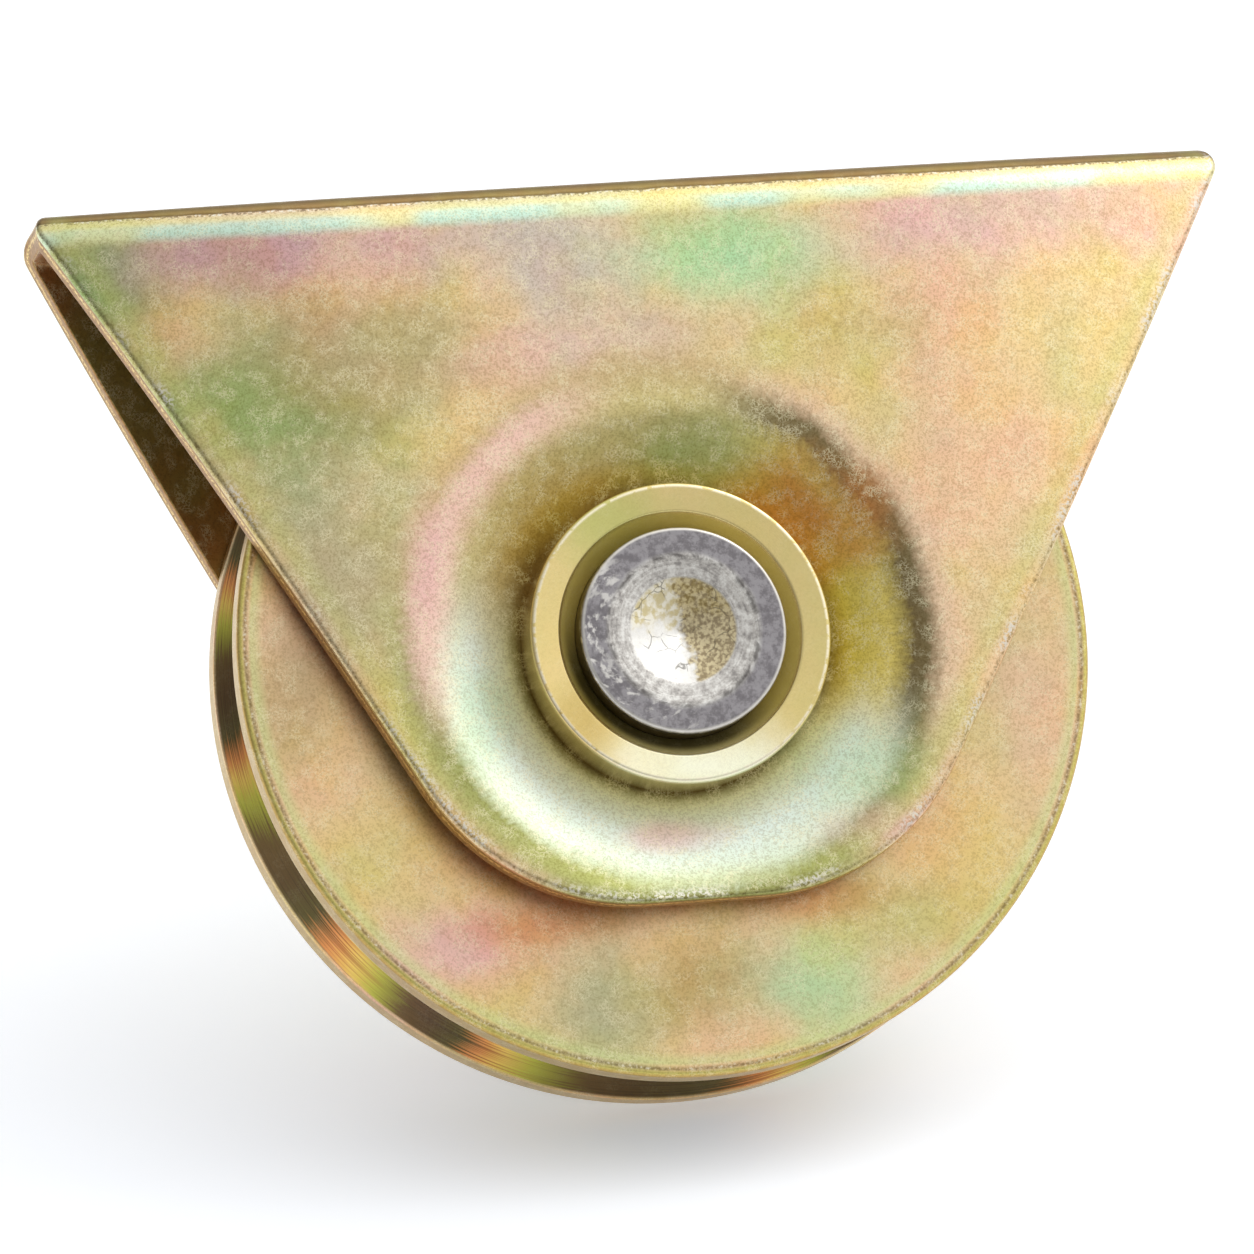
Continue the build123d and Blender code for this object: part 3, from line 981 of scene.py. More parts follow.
@dataclass(frozen=True)
class PlainSteel(Finish):
    """Ground, pressed or blackened steel of the hidden pieces."""

    dark: Colour
    light: Colour
    roughness: float
    grain: Grain = Grain.TURNED
    relief: float = 0.004 * MM

    def make(self) -> bpy.types.Material:
        """Builds the material."""
        surface = self.surface
        marks = surface.around(4.0, 1.0, 4.0) if self.grain is Grain.TURNED else None
        tone = surface.noise(1.0, 3.0, marks)
        spots = surface.noise(0.7, 3.0)
        share = (tone * 0.6 + spots * 0.4).ramp(0.35, 0.65)
        surface.colour = surface.colour_mix(share, self.dark, self.light)
        surface.rough = self.roughness + (spots - 0.5) * 0.15
        return surface.finish(1.0, tone, self.relief)


@dataclass
class TurnedPart:
    """A piece turned about the axle, swept round it by geometry nodes."""

    name: str
    section: list[tuple[float, float]]
    material: bpy.types.Material
    segments: int = 240

    def rounded(self, rounds: dict[int, float], steps: int = 7, guard: float = 0.05 * MM) -> TurnedPart:
        """Rounds corners of the section, with a point close to each end of a round to keep flats flat.

        Args:
            rounds: The radius for each corner's number.
            steps: Segments in a round.
            guard: Distance of the extra points from the round's ends.

        Returns:
            This part.
        """
        corners = [Vector(point) for point in self.section]
        made: list[tuple[float, float]] = []
        for index, corner in enumerate(corners):
            before = corners[index - 1]
            after = corners[(index + 1) % len(corners)]
            if index not in rounds:
                made.append(tuple(corner))
                continue
            back = (before - corner).normalized()
            ahead = (after - corner).normalized()
            half = back.angle(ahead) / 2
            reach = rounds[index] / math.tan(half)
            centre = corner + (back + ahead).normalized() * rounds[index] / math.sin(half)
            start = corner + back * reach
            end = corner + ahead * reach
            made.append(tuple(start + back * guard))
            for step in range(steps + 1):
                turn = (start - centre).lerp(end - centre, step / steps).normalized()
                made.append(tuple(centre + turn * rounds[index]))
            made.append(tuple(end + ahead * guard))
        self.section = made
        return self

    def build(self) -> bpy.types.Object:
        """Sweeps the section round the axle and returns the plain mesh."""
        mesh = bpy.data.meshes.new(f"{self.name}_section")
        count = len(self.section)
        closed = min(point[0] for point in self.section) > 0
        edges = [(index, (index + 1) % count) for index in range(count if closed else count - 1)]
        mesh.from_pydata([(radius, y, 0.0) for radius, y in self.section], edges, [])
        return grow(self.name, sweep_tree(), {"Segments": self.segments, "Material": self.material}, mesh)


def new_object(name: str, data: Any) -> bpy.types.Object:
    """Makes an object with its data at the origin and links it to the scene."""
    made = bpy.data.objects.new(name, data)
    bpy.context.scene.collection.objects.link(made)
    return made


def grow(
    name: str, tree: bpy.types.NodeTree, values: dict[str, Any], start: bpy.types.Mesh | None = None
) -> bpy.types.Object:
    """Runs a geometry nodes group and keeps what it makes as a plain mesh.

    Args:
        name: The new object's name.
        tree: The group.
        values: What to set, by the input's name in the group.
        start: The mesh that the group starts from, where it needs one.

    Returns:
        The new object, at the origin, closed and facing outwards.
    """
    carrier = new_object(f"{name}_carrier", start or bpy.data.meshes.new(f"{name}_carrier"))
    modifier = carrier.modifiers.new("grow", "NODES")
    modifier.node_group = tree
    for item in tree.interface.items_tree:
        if item.item_type == "SOCKET" and item.in_out == "INPUT" and item.name in values:
            modifier[item.identifier] = values[item.name]
    mesh = evaluated_mesh(carrier)
    bpy.data.objects.remove(carrier)
    mesh.name = name
    piece = new_object(name, mesh)
    face_outwards(piece)
    return piece


def evaluated_mesh(carrier: bpy.types.Object) -> bpy.types.Mesh:
    """A new mesh with an object's modifiers applied."""
    bpy.context.view_layer.update()
    evaluated = carrier.evaluated_get(bpy.context.evaluated_depsgraph_get())
    return bpy.data.meshes.new_from_object(evaluated)


def face_outwards(piece: bpy.types.Object) -> None:
    """Merges doubled vertices and turns every face outwards.

    Args:
        piece: The mesh object.
    """
    shell = bmesh.new()
    shell.from_mesh(piece.data)
    bmesh.ops.remove_doubles(shell, verts=shell.verts, dist=0.0002 * MM)
    bmesh.ops.recalc_face_normals(shell, faces=shell.faces)
    for face in shell.faces:
        face.smooth = True
    shell.to_mesh(piece.data)
    shell.free()
    piece.data.update()


class GeometryTree(NodeTree):
    """A geometry nodes group with named inputs and one geometry output."""

    def __init__(self, name: str, inputs: dict[str, str]) -> None:
        """Creates the group.

        Args:
            name: The group's name.
            inputs: Socket types by the input's name.
        """
        group = bpy.data.node_groups.new(name, "GeometryNodeTree")
        super().__init__(group)
        face = group.interface
        face.new_socket("Geometry", in_out="INPUT", socket_type="NodeSocketGeometry")
        for label, kind in inputs.items():
            face.new_socket(label, in_out="INPUT", socket_type=kind)
        face.new_socket("Geometry", in_out="OUTPUT", socket_type="NodeSocketGeometry")
        self.given = self.node("NodeGroupInput").outputs

    def moved(self, geometry: Any, **sockets: Any) -> bpy.types.Node:
        """Moves, turns or scales geometry by a Transform node's Translation, Rotation and Scale."""
        return self.node("GeometryNodeTransform", None, {"Geometry": geometry, **sockets})

    def end(self, geometry: Any) -> bpy.types.NodeTree:
        """Ends the tree in Realize Instances and Set Material.

        Args:
            geometry: The geometry to hand out.

        Returns:
            The finished group.
        """
        real = self.node("GeometryNodeRealizeInstances", None, {0: geometry})
        smooth = self.node("GeometryNodeSetShadeSmooth", None, {0: real})
        dressed = self.node("GeometryNodeSetMaterial", None, {0: smooth, "Material": self.given["Material"]})
        self.node("NodeGroupOutput", None, {0: dressed})
        return self.tree


def sweep_tree() -> bpy.types.NodeTree:
    """The group that sweeps a section round the axle, made once and shared."""
    name = "sweep_round_axle"
    if name in bpy.data.node_groups:
        return bpy.data.node_groups[name]
    tree = GeometryTree(name, {"Segments": "NodeSocketInt", "Material": "NodeSocketMaterial"})
    path_radius = 10 * MM
    path = {"Resolution": tree.given["Segments"], "Radius": path_radius}
    circle = tree.node("GeometryNodeCurvePrimitiveCircle", None, path)
    line = tree.node("GeometryNodeMeshToCurve", None, {"Mesh": tree.given["Geometry"]})
    moved = tree.moved(line, Translation=(-path_radius, 0.0, 0.0))
    swept = tree.node("GeometryNodeCurveToMesh", None, {"Curve": circle, "Profile Curve": moved})
    return tree.end(tree.moved(swept, Rotation=(math.pi / 2, 0.0, 0.0)))


@dataclass
class FoldedBracket:
    """The folded sheet. Its two skins are grids whose rows run from one cut edge to the other.

    The rows go from the foot of the front wing, over the fold, to the foot of the rear wing.
    """

    sheet: float = 3.0 * MM
    half_gap_over_wheel: float = 9.7 * MM
    hem_half_gap: float = 1.2 * MM
    inner_height: float = 41.0 * MM
    fold_rise: float = 1.6 * MM
    fold_inner_radius: float = 0.8 * MM
    spread: float = math.radians(2.0)
    pinch_start: float = 25.0 * MM
    pinch_run: dict[int, float] = field(default_factory=lambda: {-1: 32.0 * MM, 1: 37.0 * MM})
    reach: dict[int, float] = field(default_factory=lambda: {-1: 31.4 * MM, 1: 32.9 * MM})
    lean: dict[int, float] = field(default_factory=lambda: {-1: math.radians(27.8), 1: math.radians(31.0)})
    drop: float = 24.5 * MM
    untrimmed_foot: float = -26.5 * MM
    corner_radius: float = 22.2 * MM
    top_corner_radius: float = 2.4 * MM
    blank_top: float = 46.2 * MM
    edge_round: float = 0.6 * MM
    burr_round: float = 0.18 * MM
    dish_depth: float = 3.3 * MM
    dish_floor_radius: float = 14.4 * MM
    dish_slope: float = math.radians(21.0)
    floor_bend: float = 6.0 * MM
    inner_rim_bend: float = 4.0 * MM
    hole_radius: float = 8.5 * MM
    columns: int = 150
    arc_rows: int = 26
    wing_pitch: float = 0.6 * MM
    bend_rows: int = 12
    top_rows: int = 5
    fitting_rounds: int = 12
    edge_steps: int = 6
    burr_steps: int = 4
    cut_start: float = 0.15 * MM
    cut_end: float = 0.4 * MM
    cut_marks: tuple[float, float, float] = (-0.35, -0.7, -0.8)
    drill_segments: int = 128
    drill_length: float = 80 * MM
    past_sheet: float = 1.0

    def pinch(self, x: Array) -> Array:
        """How far the bracket is drawn in at x, from 0 over the wheel to 1 at the hem."""
        run = np.where(x < 0, self.pinch_run[-1], self.pinch_run[1])
        share = np.maximum(np.abs(x) - self.pinch_start, 0) / run
        return share**2 * (3 - share) / 2

    def limit(self, z: Array, side: int, inset: float) -> tuple[Array, Array, Array]:
        """The side view's outline at a height.

        Args:
            z: Heights.
            side: -1 for the left outline and 1 for the right one.
            inset: Distance that the outline is moved inwards.

        Returns:
            The outline's x without its sign, and the two parts of its outward normal in X and Z.
        """
        lean, reach = self.lean[side], self.reach[side]
        slope = math.tan(lean)
        x = reach + slope * z - inset / math.cos(lean)
        normal_x = np.full_like(z, math.cos(lean))
        normal_z = np.full_like(z, -math.sin(lean))
        low = -self.drop + self.corner_radius
        high = self.blank_top - self.top_corner_radius
        arcs = ((low, self.corner_radius, -1), (high, self.top_corner_radius, 1))
        for centre_z, full_radius, way in arcs:
            radius = full_radius - inset
            centre_x = reach + slope * centre_z - full_radius / math.cos(lean)
            join = centre_z - radius * math.sin(lean)
            over = np.clip(z - centre_z, -radius, radius)
            across = np.sqrt(np.maximum(radius**2 - over**2, 0))
            on_arc = (z - join) * way > 0
            x = np.where(on_arc, centre_x + across, x)
            normal_x = np.where(on_arc, across / radius, normal_x)
            normal_z = np.where(on_arc, over / radius, normal_z)
        return x, normal_x * side, normal_z

    def margin(self, x: Array, z: Array) -> Array:
        """Distance of a wing point from the cut edge, in metres."""
        apart = z + self.drop
        for side in (-1, 1):
            lean = self.lean[side]
            outward = x * side
            slant = (self.reach[side] + math.tan(lean) * z - outward) * math.cos(lean)
            apart = np.minimum(apart, slant)
            centre_z = -self.drop + self.corner_radius
            centre_x = self.reach[side] + math.tan(lean) * centre_z - self.corner_radius / math.cos(lean)
            angle = np.arctan2(z - centre_z, outward - centre_x)
            in_corner = (angle > -math.pi / 2) & (angle < -lean)
            round_gap = self.corner_radius - np.hypot(outward - centre_x, z - centre_z)
            apart = np.where(in_corner, round_gap, apart)
        return apart

    def bend(self, x: Array, skin: float) -> dict[str, Array]:
        """The cross-section at x: two straight wings, two bends and a flat top.

        Args:
            x: Places along the bracket.
            skin: 0 for the inner surface and the sheet's thickness for the outer one.

        Returns:
            The section's sizes by name.
        """
        spread = math.tan(self.spread)
        pinch = self.pinch(x)
        top = self.inner_height + self.fold_rise * pinch + skin
        half_gap = self.hem_half_gap + (self.half_gap_over_wheel - self.hem_half_gap) * (1 - pinch)
        half_top = half_gap + skin * (1 - spread)
        half_foot = self.half_gap_over_wheel + (self.inner_height - self.untrimmed_foot) * spread + skin
        length = np.hypot(half_foot - half_top, top - self.untrimmed_foot)
        sine = (half_foot - half_top) / length
        cosine = (top - self.untrimmed_foot) / length
        radius = self.fold_inner_radius + skin
        turn = np.arccos(sine)
        tangent = radius * np.tan(turn / 2)
        return {
            "top": top,
            "half_top": half_top,
            "lean": sine / cosine,
            "sine": sine,
            "cosine": cosine,
            "radius": radius,
            "turn": turn,
            "start_y": half_top + tangent * sine,
            "start_z": top - tangent * cosine,
            "end_y": half_top - tangent,
        }

    def sunk(self, wing: Array, reach: Array, skin: float) -> Array:
        """Distance of the skin from the middle plane with the dish pressed in.

        Args:
            wing: The distance that the flat wing would have.
            reach: Distance from the axle.
            skin: 0 for the inner surface and the sheet's thickness for the outer one.

        Returns:
            The distance with the dish.
        """
        inset = self.sheet - skin
        floor = self.dish_floor() - inset
        half_slope = math.tan(self.dish_slope / 2)
        corner = self.dish_floor_radius + inset * half_slope
        bend = self.floor_bend + inset
        rim = self.inner_rim_bend + skin
        depth = wing - floor
        bend_start = corner - bend * half_slope
        bend_end = bend_start + bend * math.sin(self.dish_slope)
        rim_end = corner + depth / math.tan(self.dish_slope) + rim * half_slope
        rim_start = rim_end - rim * math.sin(self.dish_slope)
        rise = (reach - corner) * math.tan(self.dish_slope)
        into_bend = np.clip(reach - bend_start, 0, bend)
        into_rim = np.clip(rim_end - reach, 0, rim)
        rise = np.where(reach < bend_end, bend - np.sqrt(bend**2 - into_bend**2), rise)
        rise = np.where(reach > rim_start, depth - rim + np.sqrt(rim**2 - into_rim**2), rise)
        rise = np.where(reach > rim_end, depth, rise)
        return floor + rise

    def dish_floor(self) -> float:
        """Distance of the dish's outer floor from the middle plane."""
        wing_at_axle = self.half_gap_over_wheel + self.inner_height * math.tan(self.spread) + self.sheet
        return wing_at_axle - self.dish_depth

    def rows(self) -> list[tuple[str, float]]:
        """Kind and place of each row of the front half, from the foot to the middle of the fold."""
        straight_start = self.corner_radius * (1 - math.sin(self.lean[-1]))
        arc_turn = math.pi / 2 - self.lean[-1]
        turns = [arc_turn * i / self.arc_rows for i in range(self.arc_rows)]
        arc = [self.corner_radius * (1 - math.cos(turn)) for turn in turns]
        wing_height = self.inner_height + self.drop
        count = round((wing_height - straight_start) / self.wing_pitch)
        straight = np.linspace(straight_start, wing_height, count)
        wing = [("wing", height / wing_height) for height in [*arc, *straight]]
        bend = [("bend", (i + 1) / self.bend_rows) for i in range(self.bend_rows)]
        top = [("top", (i + 1) / self.top_rows) for i in range(self.top_rows)]
        return wing + bend + top

    def all_rows(self) -> list[tuple[str, float]]:
        """Kind and place of each row, from the front foot to the rear one."""
        half = self.rows()
        return half + half[:-1][::-1]

    def row_points(self, x: Array, kind: str, place: float, skin: float, inset: float) -> tuple[Array, Array]:
        """Distance from the middle plane and height of points of one row.

        Args:
            x: Places along the bracket.
            kind: wing, bend or top.
            place: The row's place in that part, from 0 to 1.
            skin: 0 for the inner surface and the sheet's thickness for the outer one.
            inset: How far the foot row is moved in from the cut edge.

        Returns:
            The distances and the heights.
        """
        cut = self.bend(x, skin)
        if kind == "wing":
            foot = -self.drop + inset
            z = foot + (cut["start_z"] - foot) * place
            y = cut["half_top"] + (cut["top"] - z) * cut["lean"]
            return self.sunk(y, np.hypot(x, z), skin), z
        if kind == "bend":
            turn = cut["turn"] * place
            centre_y = cut["start_y"] - cut["radius"] * cut["cosine"]
            centre_z = cut["start_z"] - cut["radius"] * cut["sine"]
            y = centre_y + cut["radius"] * (np.cos(turn) * cut["cosine"] - np.sin(turn) * cut["sine"])
            z = centre_z + cut["radius"] * (np.cos(turn) * cut["sine"] + np.sin(turn) * cut["cosine"])
            return y, z
        return cut["end_y"] * (1 - place), cut["top"]

    def row_end(self, side: int, kind: str, place: float, skin: float, inset: float) -> float:
        """Signed x where a row meets the outline, found by repeated fitting."""
        x = np.array([side * self.reach[side]])
        for _ in range(self.fitting_rounds):
            _, z = self.row_points(x, kind, place, skin, inset)
            x = side * self.limit(z, side, inset)[0]
        return float(x[0])

    def skin_grid(self, skin: float, inset: float) -> Array:
        """Points of one skin, as an array of rows, columns and coordinates."""
        share = np.linspace(0, 1, self.columns)
        front = []
        for kind, place in self.rows():
            left = self.row_end(-1, kind, place, skin, inset)
            right = self.row_end(1, kind, place, skin, inset)
            x = left + (right - left) * share
            y, z = self.row_points(x, kind, place, skin, inset)
            front.append(np.stack([x, -y, z], axis=1))
        half = np.array(front)
        rear = half[:-1][::-1] * np.array([1, -1, 1])
        return np.concatenate([half, rear])

    def corners(self, grid: Array, skin: float, inset: float) -> Array:
        """The sharp corner that each boundary point of a skin would reach without its rounding."""
        kinds = self.all_rows()
        sharp = []
        for row, column in self.boundary(grid.shape[0]):
            point = grid[row, column]
            kind, place = kinds[row]
            side = -1 if column < self.columns / 2 else 1
            flank = math.copysign(1, point[1])
            if kind == "wing":
                z = np.array([point[2]])
                _, normal_x, normal_z = self.limit(z, side, inset)
                if row in (0, len(kinds) - 1):
                    normal_x, normal_z = np.zeros(1), -np.ones(1)
                x = point[0] + inset * normal_x
                z = z + inset * normal_z
                cut = self.bend(x, skin)
                y = cut["half_top"] + (cut["top"] - z) * cut["lean"]
            else:
                x = np.array([self.row_end(side, kind, place, skin, 0.0)])
                y, z = self.row_points(x, kind, place, skin, 0.0)
            sharp.append((float(x[0]), flank * float(y[0]), float(z[0])))
        return np.array(sharp)

    def boundary(self, rows: int) -> list[tuple[int, int]]:
        """Row and column of the grid's border vertices, in order round the sheet."""
        last_row, last_column = rows - 1, self.columns - 1
        left = [(row, 0) for row in range(rows)]
        far = [(last_row, column) for column in range(1, self.columns)]
        right = [(row, last_column) for row in range(last_row - 1, -1, -1)]
        near = [(0, column) for column in range(last_column - 1, 0, -1)]
        return left + far + right + near

    def edge_rings(self, outer: Array, inner: Array) -> tuple[list[Array], list[float]]:
        """Rings of points that lead from the outer skin's border over the cut face to the inner one's.

        Args:
            outer: The outer skin's grid.
            inner: The inner skin's grid.

        Returns:
            The rings, and the edge distance in millimetres that each one stands for.
        """
        border = self.boundary(outer.shape[0])
        outer_start = np.array([outer[place] for place in border])
        inner_start = np.array([inner[place] for place in border])
        outer_sharp = self.corners(outer, self.sheet, self.edge_round)
        inner_sharp = self.corners(inner, 0.0, self.burr_round)
        through = inner_sharp - outer_sharp
        through /= np.linalg.norm(through, axis=1, keepdims=True)
        rings, marks = [], []
        for step in range(1, self.edge_steps + 1):
            turn = math.pi / 2 * step / self.edge_steps
            back = (outer_start - outer_sharp) * (1 - math.sin(turn))
            rings.append(outer_sharp + back + through * self.edge_round * (1 - math.cos(turn)))
            marks.append(self.edge_round / MM * (1 - math.sin(turn)))
        rings.append(outer_sharp + through * (self.edge_round + self.cut_start))
        rings.append(inner_sharp - through * (self.burr_round + self.cut_end))
        marks += self.cut_marks[:2]
        for step in range(self.burr_steps):
            turn = math.pi / 2 * (1 - step / self.burr_steps)
            back = (inner_start - inner_sharp) * (1 - math.sin(turn))
            rings.append(inner_sharp + back - through * self.burr_round * (1 - math.cos(turn)))
            marks.append(self.cut_marks[2])
        return rings, marks

    def build(self, material: bpy.types.Material) -> bpy.types.Object:
        """Builds the bracket's mesh with its dishes, edges and pin hole.

        Args:
            material: The finish.

        Returns:
            The closed mesh object.
        """
        outer = self.skin_grid(self.sheet, self.edge_round)
        inner = self.skin_grid(0.0, self.burr_round)
        rings, marks = self.edge_rings(outer, inner)
        rows, columns = outer.shape[:2]
        count = rows * columns
        border = [row * columns + column for row, column in self.boundary(rows)]
        faces = grid_faces(rows, columns) + grid_faces(rows, columns, count, True)
        loops = [np.array(border)]
        start = 2 * count
        for _ in rings:
            loops.append(np.arange(start, start + len(border)))
            start += len(border)
        loops.append(np.array(border) + count)
        for near, far in zip(loops, loops[1:]):
            faces += [tuple(map(int, quad)) for quad in zip(near, np.roll(near, -1), np.roll(far, -1), far)]
        points = np.concatenate([outer.reshape(-1, 3), inner.reshape(-1, 3), *rings])
        fold = self.inner_height - self.fold_inner_radius
        flat = outer.reshape(-1, 3)
        outer_edge = np.where(flat[:, 2] < fold, self.margin(flat[:, 0], flat[:, 2]), self.side_margin(flat))
        edge = [outer_edge / MM, np.full(count, FAR_AWAY)]
        edge += [np.full(len(border), mark) for mark in marks]
        inside = [np.zeros(count), np.ones(count), np.zeros(len(border) * len(rings))]
        piece = smooth_mesh("folded_bracket", points, faces)
        write_values(piece, "edge_mm", np.concatenate(edge))
        fold_place = self.fold_distance(outer).reshape(-1)
        rest = np.array([fold_place[index] for index in border])
        fold_place = [fold_place, np.full(count, -FAR_AWAY)] + [rest] * len(rings)
        write_values(piece, "fold_mm", np.concatenate(fold_place))
        write_values(piece, "inside", np.concatenate(inside))
        piece.data.materials.append(material)
        face_outwards(piece)
        self.bore(piece)
        return piece

    def bore(self, piece: bpy.types.Object) -> None:
        """Cuts the pin's hole along the axle through both wings.

        Args:
            piece: The folded sheet's object.
        """
        drill = bpy.data.meshes.new("drill")
        shell = bmesh.new()
        sizes = {"radius1": self.hole_radius, "radius2": self.hole_radius, "depth": self.drill_length}
        turn = Matrix.Rotation(math.pi / 2, 4, "X")
        bmesh.ops.create_cone(shell, cap_ends=True, segments=self.drill_segments, matrix=turn, **sizes)
        shell.to_mesh(drill)
        shell.free()
        cut = piece.modifiers.new("bore", "BOOLEAN")
        cut.operation = "DIFFERENCE"
        cut.solver = "EXACT"
        cut.object = new_object("drill", drill)
        result = evaluated_mesh(piece)
        bpy.data.objects.remove(cut.object)
        piece.modifiers.clear()
        piece.data = result
        result.polygons.foreach_set("use_smooth", [True] * len(result.polygons))

    def fold_distance(self, outer: Array) -> Array:
        """Distance of each outer grid point past the start of its bend, in millimetres.

        Args:
            outer: The outer skin's grid.

        Returns:
            One value for each row and column, negative on the wings.
        """
        kinds = self.all_rows()
        values = np.zeros(outer.shape[:2])
        for row, (kind, place) in enumerate(kinds):
            cut = self.bend(outer[row, :, 0], self.sheet)
            length = cut["radius"] * cut["turn"]
            if kind == "wing":
                values[row] = outer[row, :, 2] - cut["start_z"]
            elif kind == "bend":
                values[row] = length * place
            else:
                values[row] = length + cut["end_y"] * place
        return values / MM

    def side_margin(self, points: Array) -> Array:
        """Distance of fold points from the nearer cut end, in metres."""
        apart = np.full(len(points), self.past_sheet)
        for side in (-1, 1):
            limit = self.limit(points[:, 2], side, 0.0)[0]
            apart = np.minimum(apart, limit - side * points[:, 0])
        return apart


def smooth_mesh(name: str, points: Array, faces: Iterable[Sequence[int]]) -> bpy.types.Object:
    """Makes a smooth-shaded mesh object at the origin.

    Args:
        name: The object's name.
        points: Its vertices, in metres.
        faces: The vertex numbers of each face.

    Returns:
        The new object, linked to the scene.
    """
    mesh = bpy.data.meshes.new(name)
    mesh.from_pydata(points.tolist(), [], faces)
    mesh.update()
    return new_object(name, mesh)


def grid_faces(rows: int, columns: int, start: int = 0, flip: bool = False) -> list[tuple[int, ...]]:
    """Quads of a grid whose vertices are numbered row by row.

    Args:
        rows: Number of vertex rows.
        columns: Number of vertices in a row.
        start: Number of the grid's first vertex.
        flip: True to turn the faces over.

    Returns:
        One tuple of four vertex numbers for each quad.
    """
    faces = []
    for row in range(rows - 1):
        for column in range(columns - 1):
            a = start + row * columns + column
            quad = (a, a + 1, a + columns + 1, a + columns)
            faces.append(quad[::-1] if flip else quad)
    return faces


def write_values(piece: bpy.types.Object, name: str, values: Array) -> None:
    """Stores one number for each vertex of a piece as a named attribute."""
    attribute = piece.data.attributes.new(name, "FLOAT", "POINT")
    attribute.data.foreach_set("value", values.astype(np.float32))


@dataclass
class GrooveWheel:
    """The turned wheel with its V-groove, seen between and below the wings."""

    radius: float = 40.0 * MM
    half_width: float = 9.0 * MM
    land: float = 3.0 * MM
    root_half_width: float = 1.0 * MM
    groove_depth: float = 5.0 * MM
    rim_round: float = 0.5 * MM
    mouth_round: float = 0.3 * MM
    root_round: float = 0.4 * MM
    crisp_round: float = 0.12 * MM
    segments: int = 320
    bore_radius: float = 20.0 * MM
    bore_chamfer: float = 0.6 * MM
    shoulder_radius: float = 17.8 * MM
    shoulder_face: float = 7.5 * MM
    half_bearing: float = 6.0 * MM
    ring_seat_radius: float = 21.25 * MM
    ring_seat_end: float = 7.6 * MM

    def build(self, material: bpy.types.Material) -> bpy.types.Object:
        """Turns the wheel."""
        mouth = self.half_width - self.land
        root = self.radius - self.groove_depth
        section = [
            (self.bore_radius + self.bore_chamfer, -self.half_width),
            (self.radius, -self.half_width),
            (self.radius, -mouth),
            (root, -self.root_half_width),
            (root, self.root_half_width),
            (self.radius, mouth),
            (self.radius, self.half_width),
            (self.bore_radius + self.bore_chamfer, self.half_width),
            (self.bore_radius, self.half_width - self.bore_chamfer),
            (self.bore_radius, self.shoulder_face),
            (self.shoulder_radius, self.shoulder_face),
            (self.shoulder_radius, self.half_bearing),
            (self.bore_radius, self.half_bearing),
            (self.bore_radius, -self.half_bearing),
            (self.ring_seat_radius, -self.half_bearing),
            (self.ring_seat_radius, -self.ring_seat_end),
            (self.bore_radius, -self.ring_seat_end),
            (self.bore_radius, -self.half_width + self.bore_chamfer),
        ]
        rounds = dict.fromkeys(range(len(section)), self.crisp_round)
        front = (self.rim_round, self.mouth_round, self.root_round)
        rounds.update(enumerate([*front, *reversed(front)], 1))
        part = TurnedPart("groove_wheel", section, material, self.segments)
        return part.rounded(rounds).build()


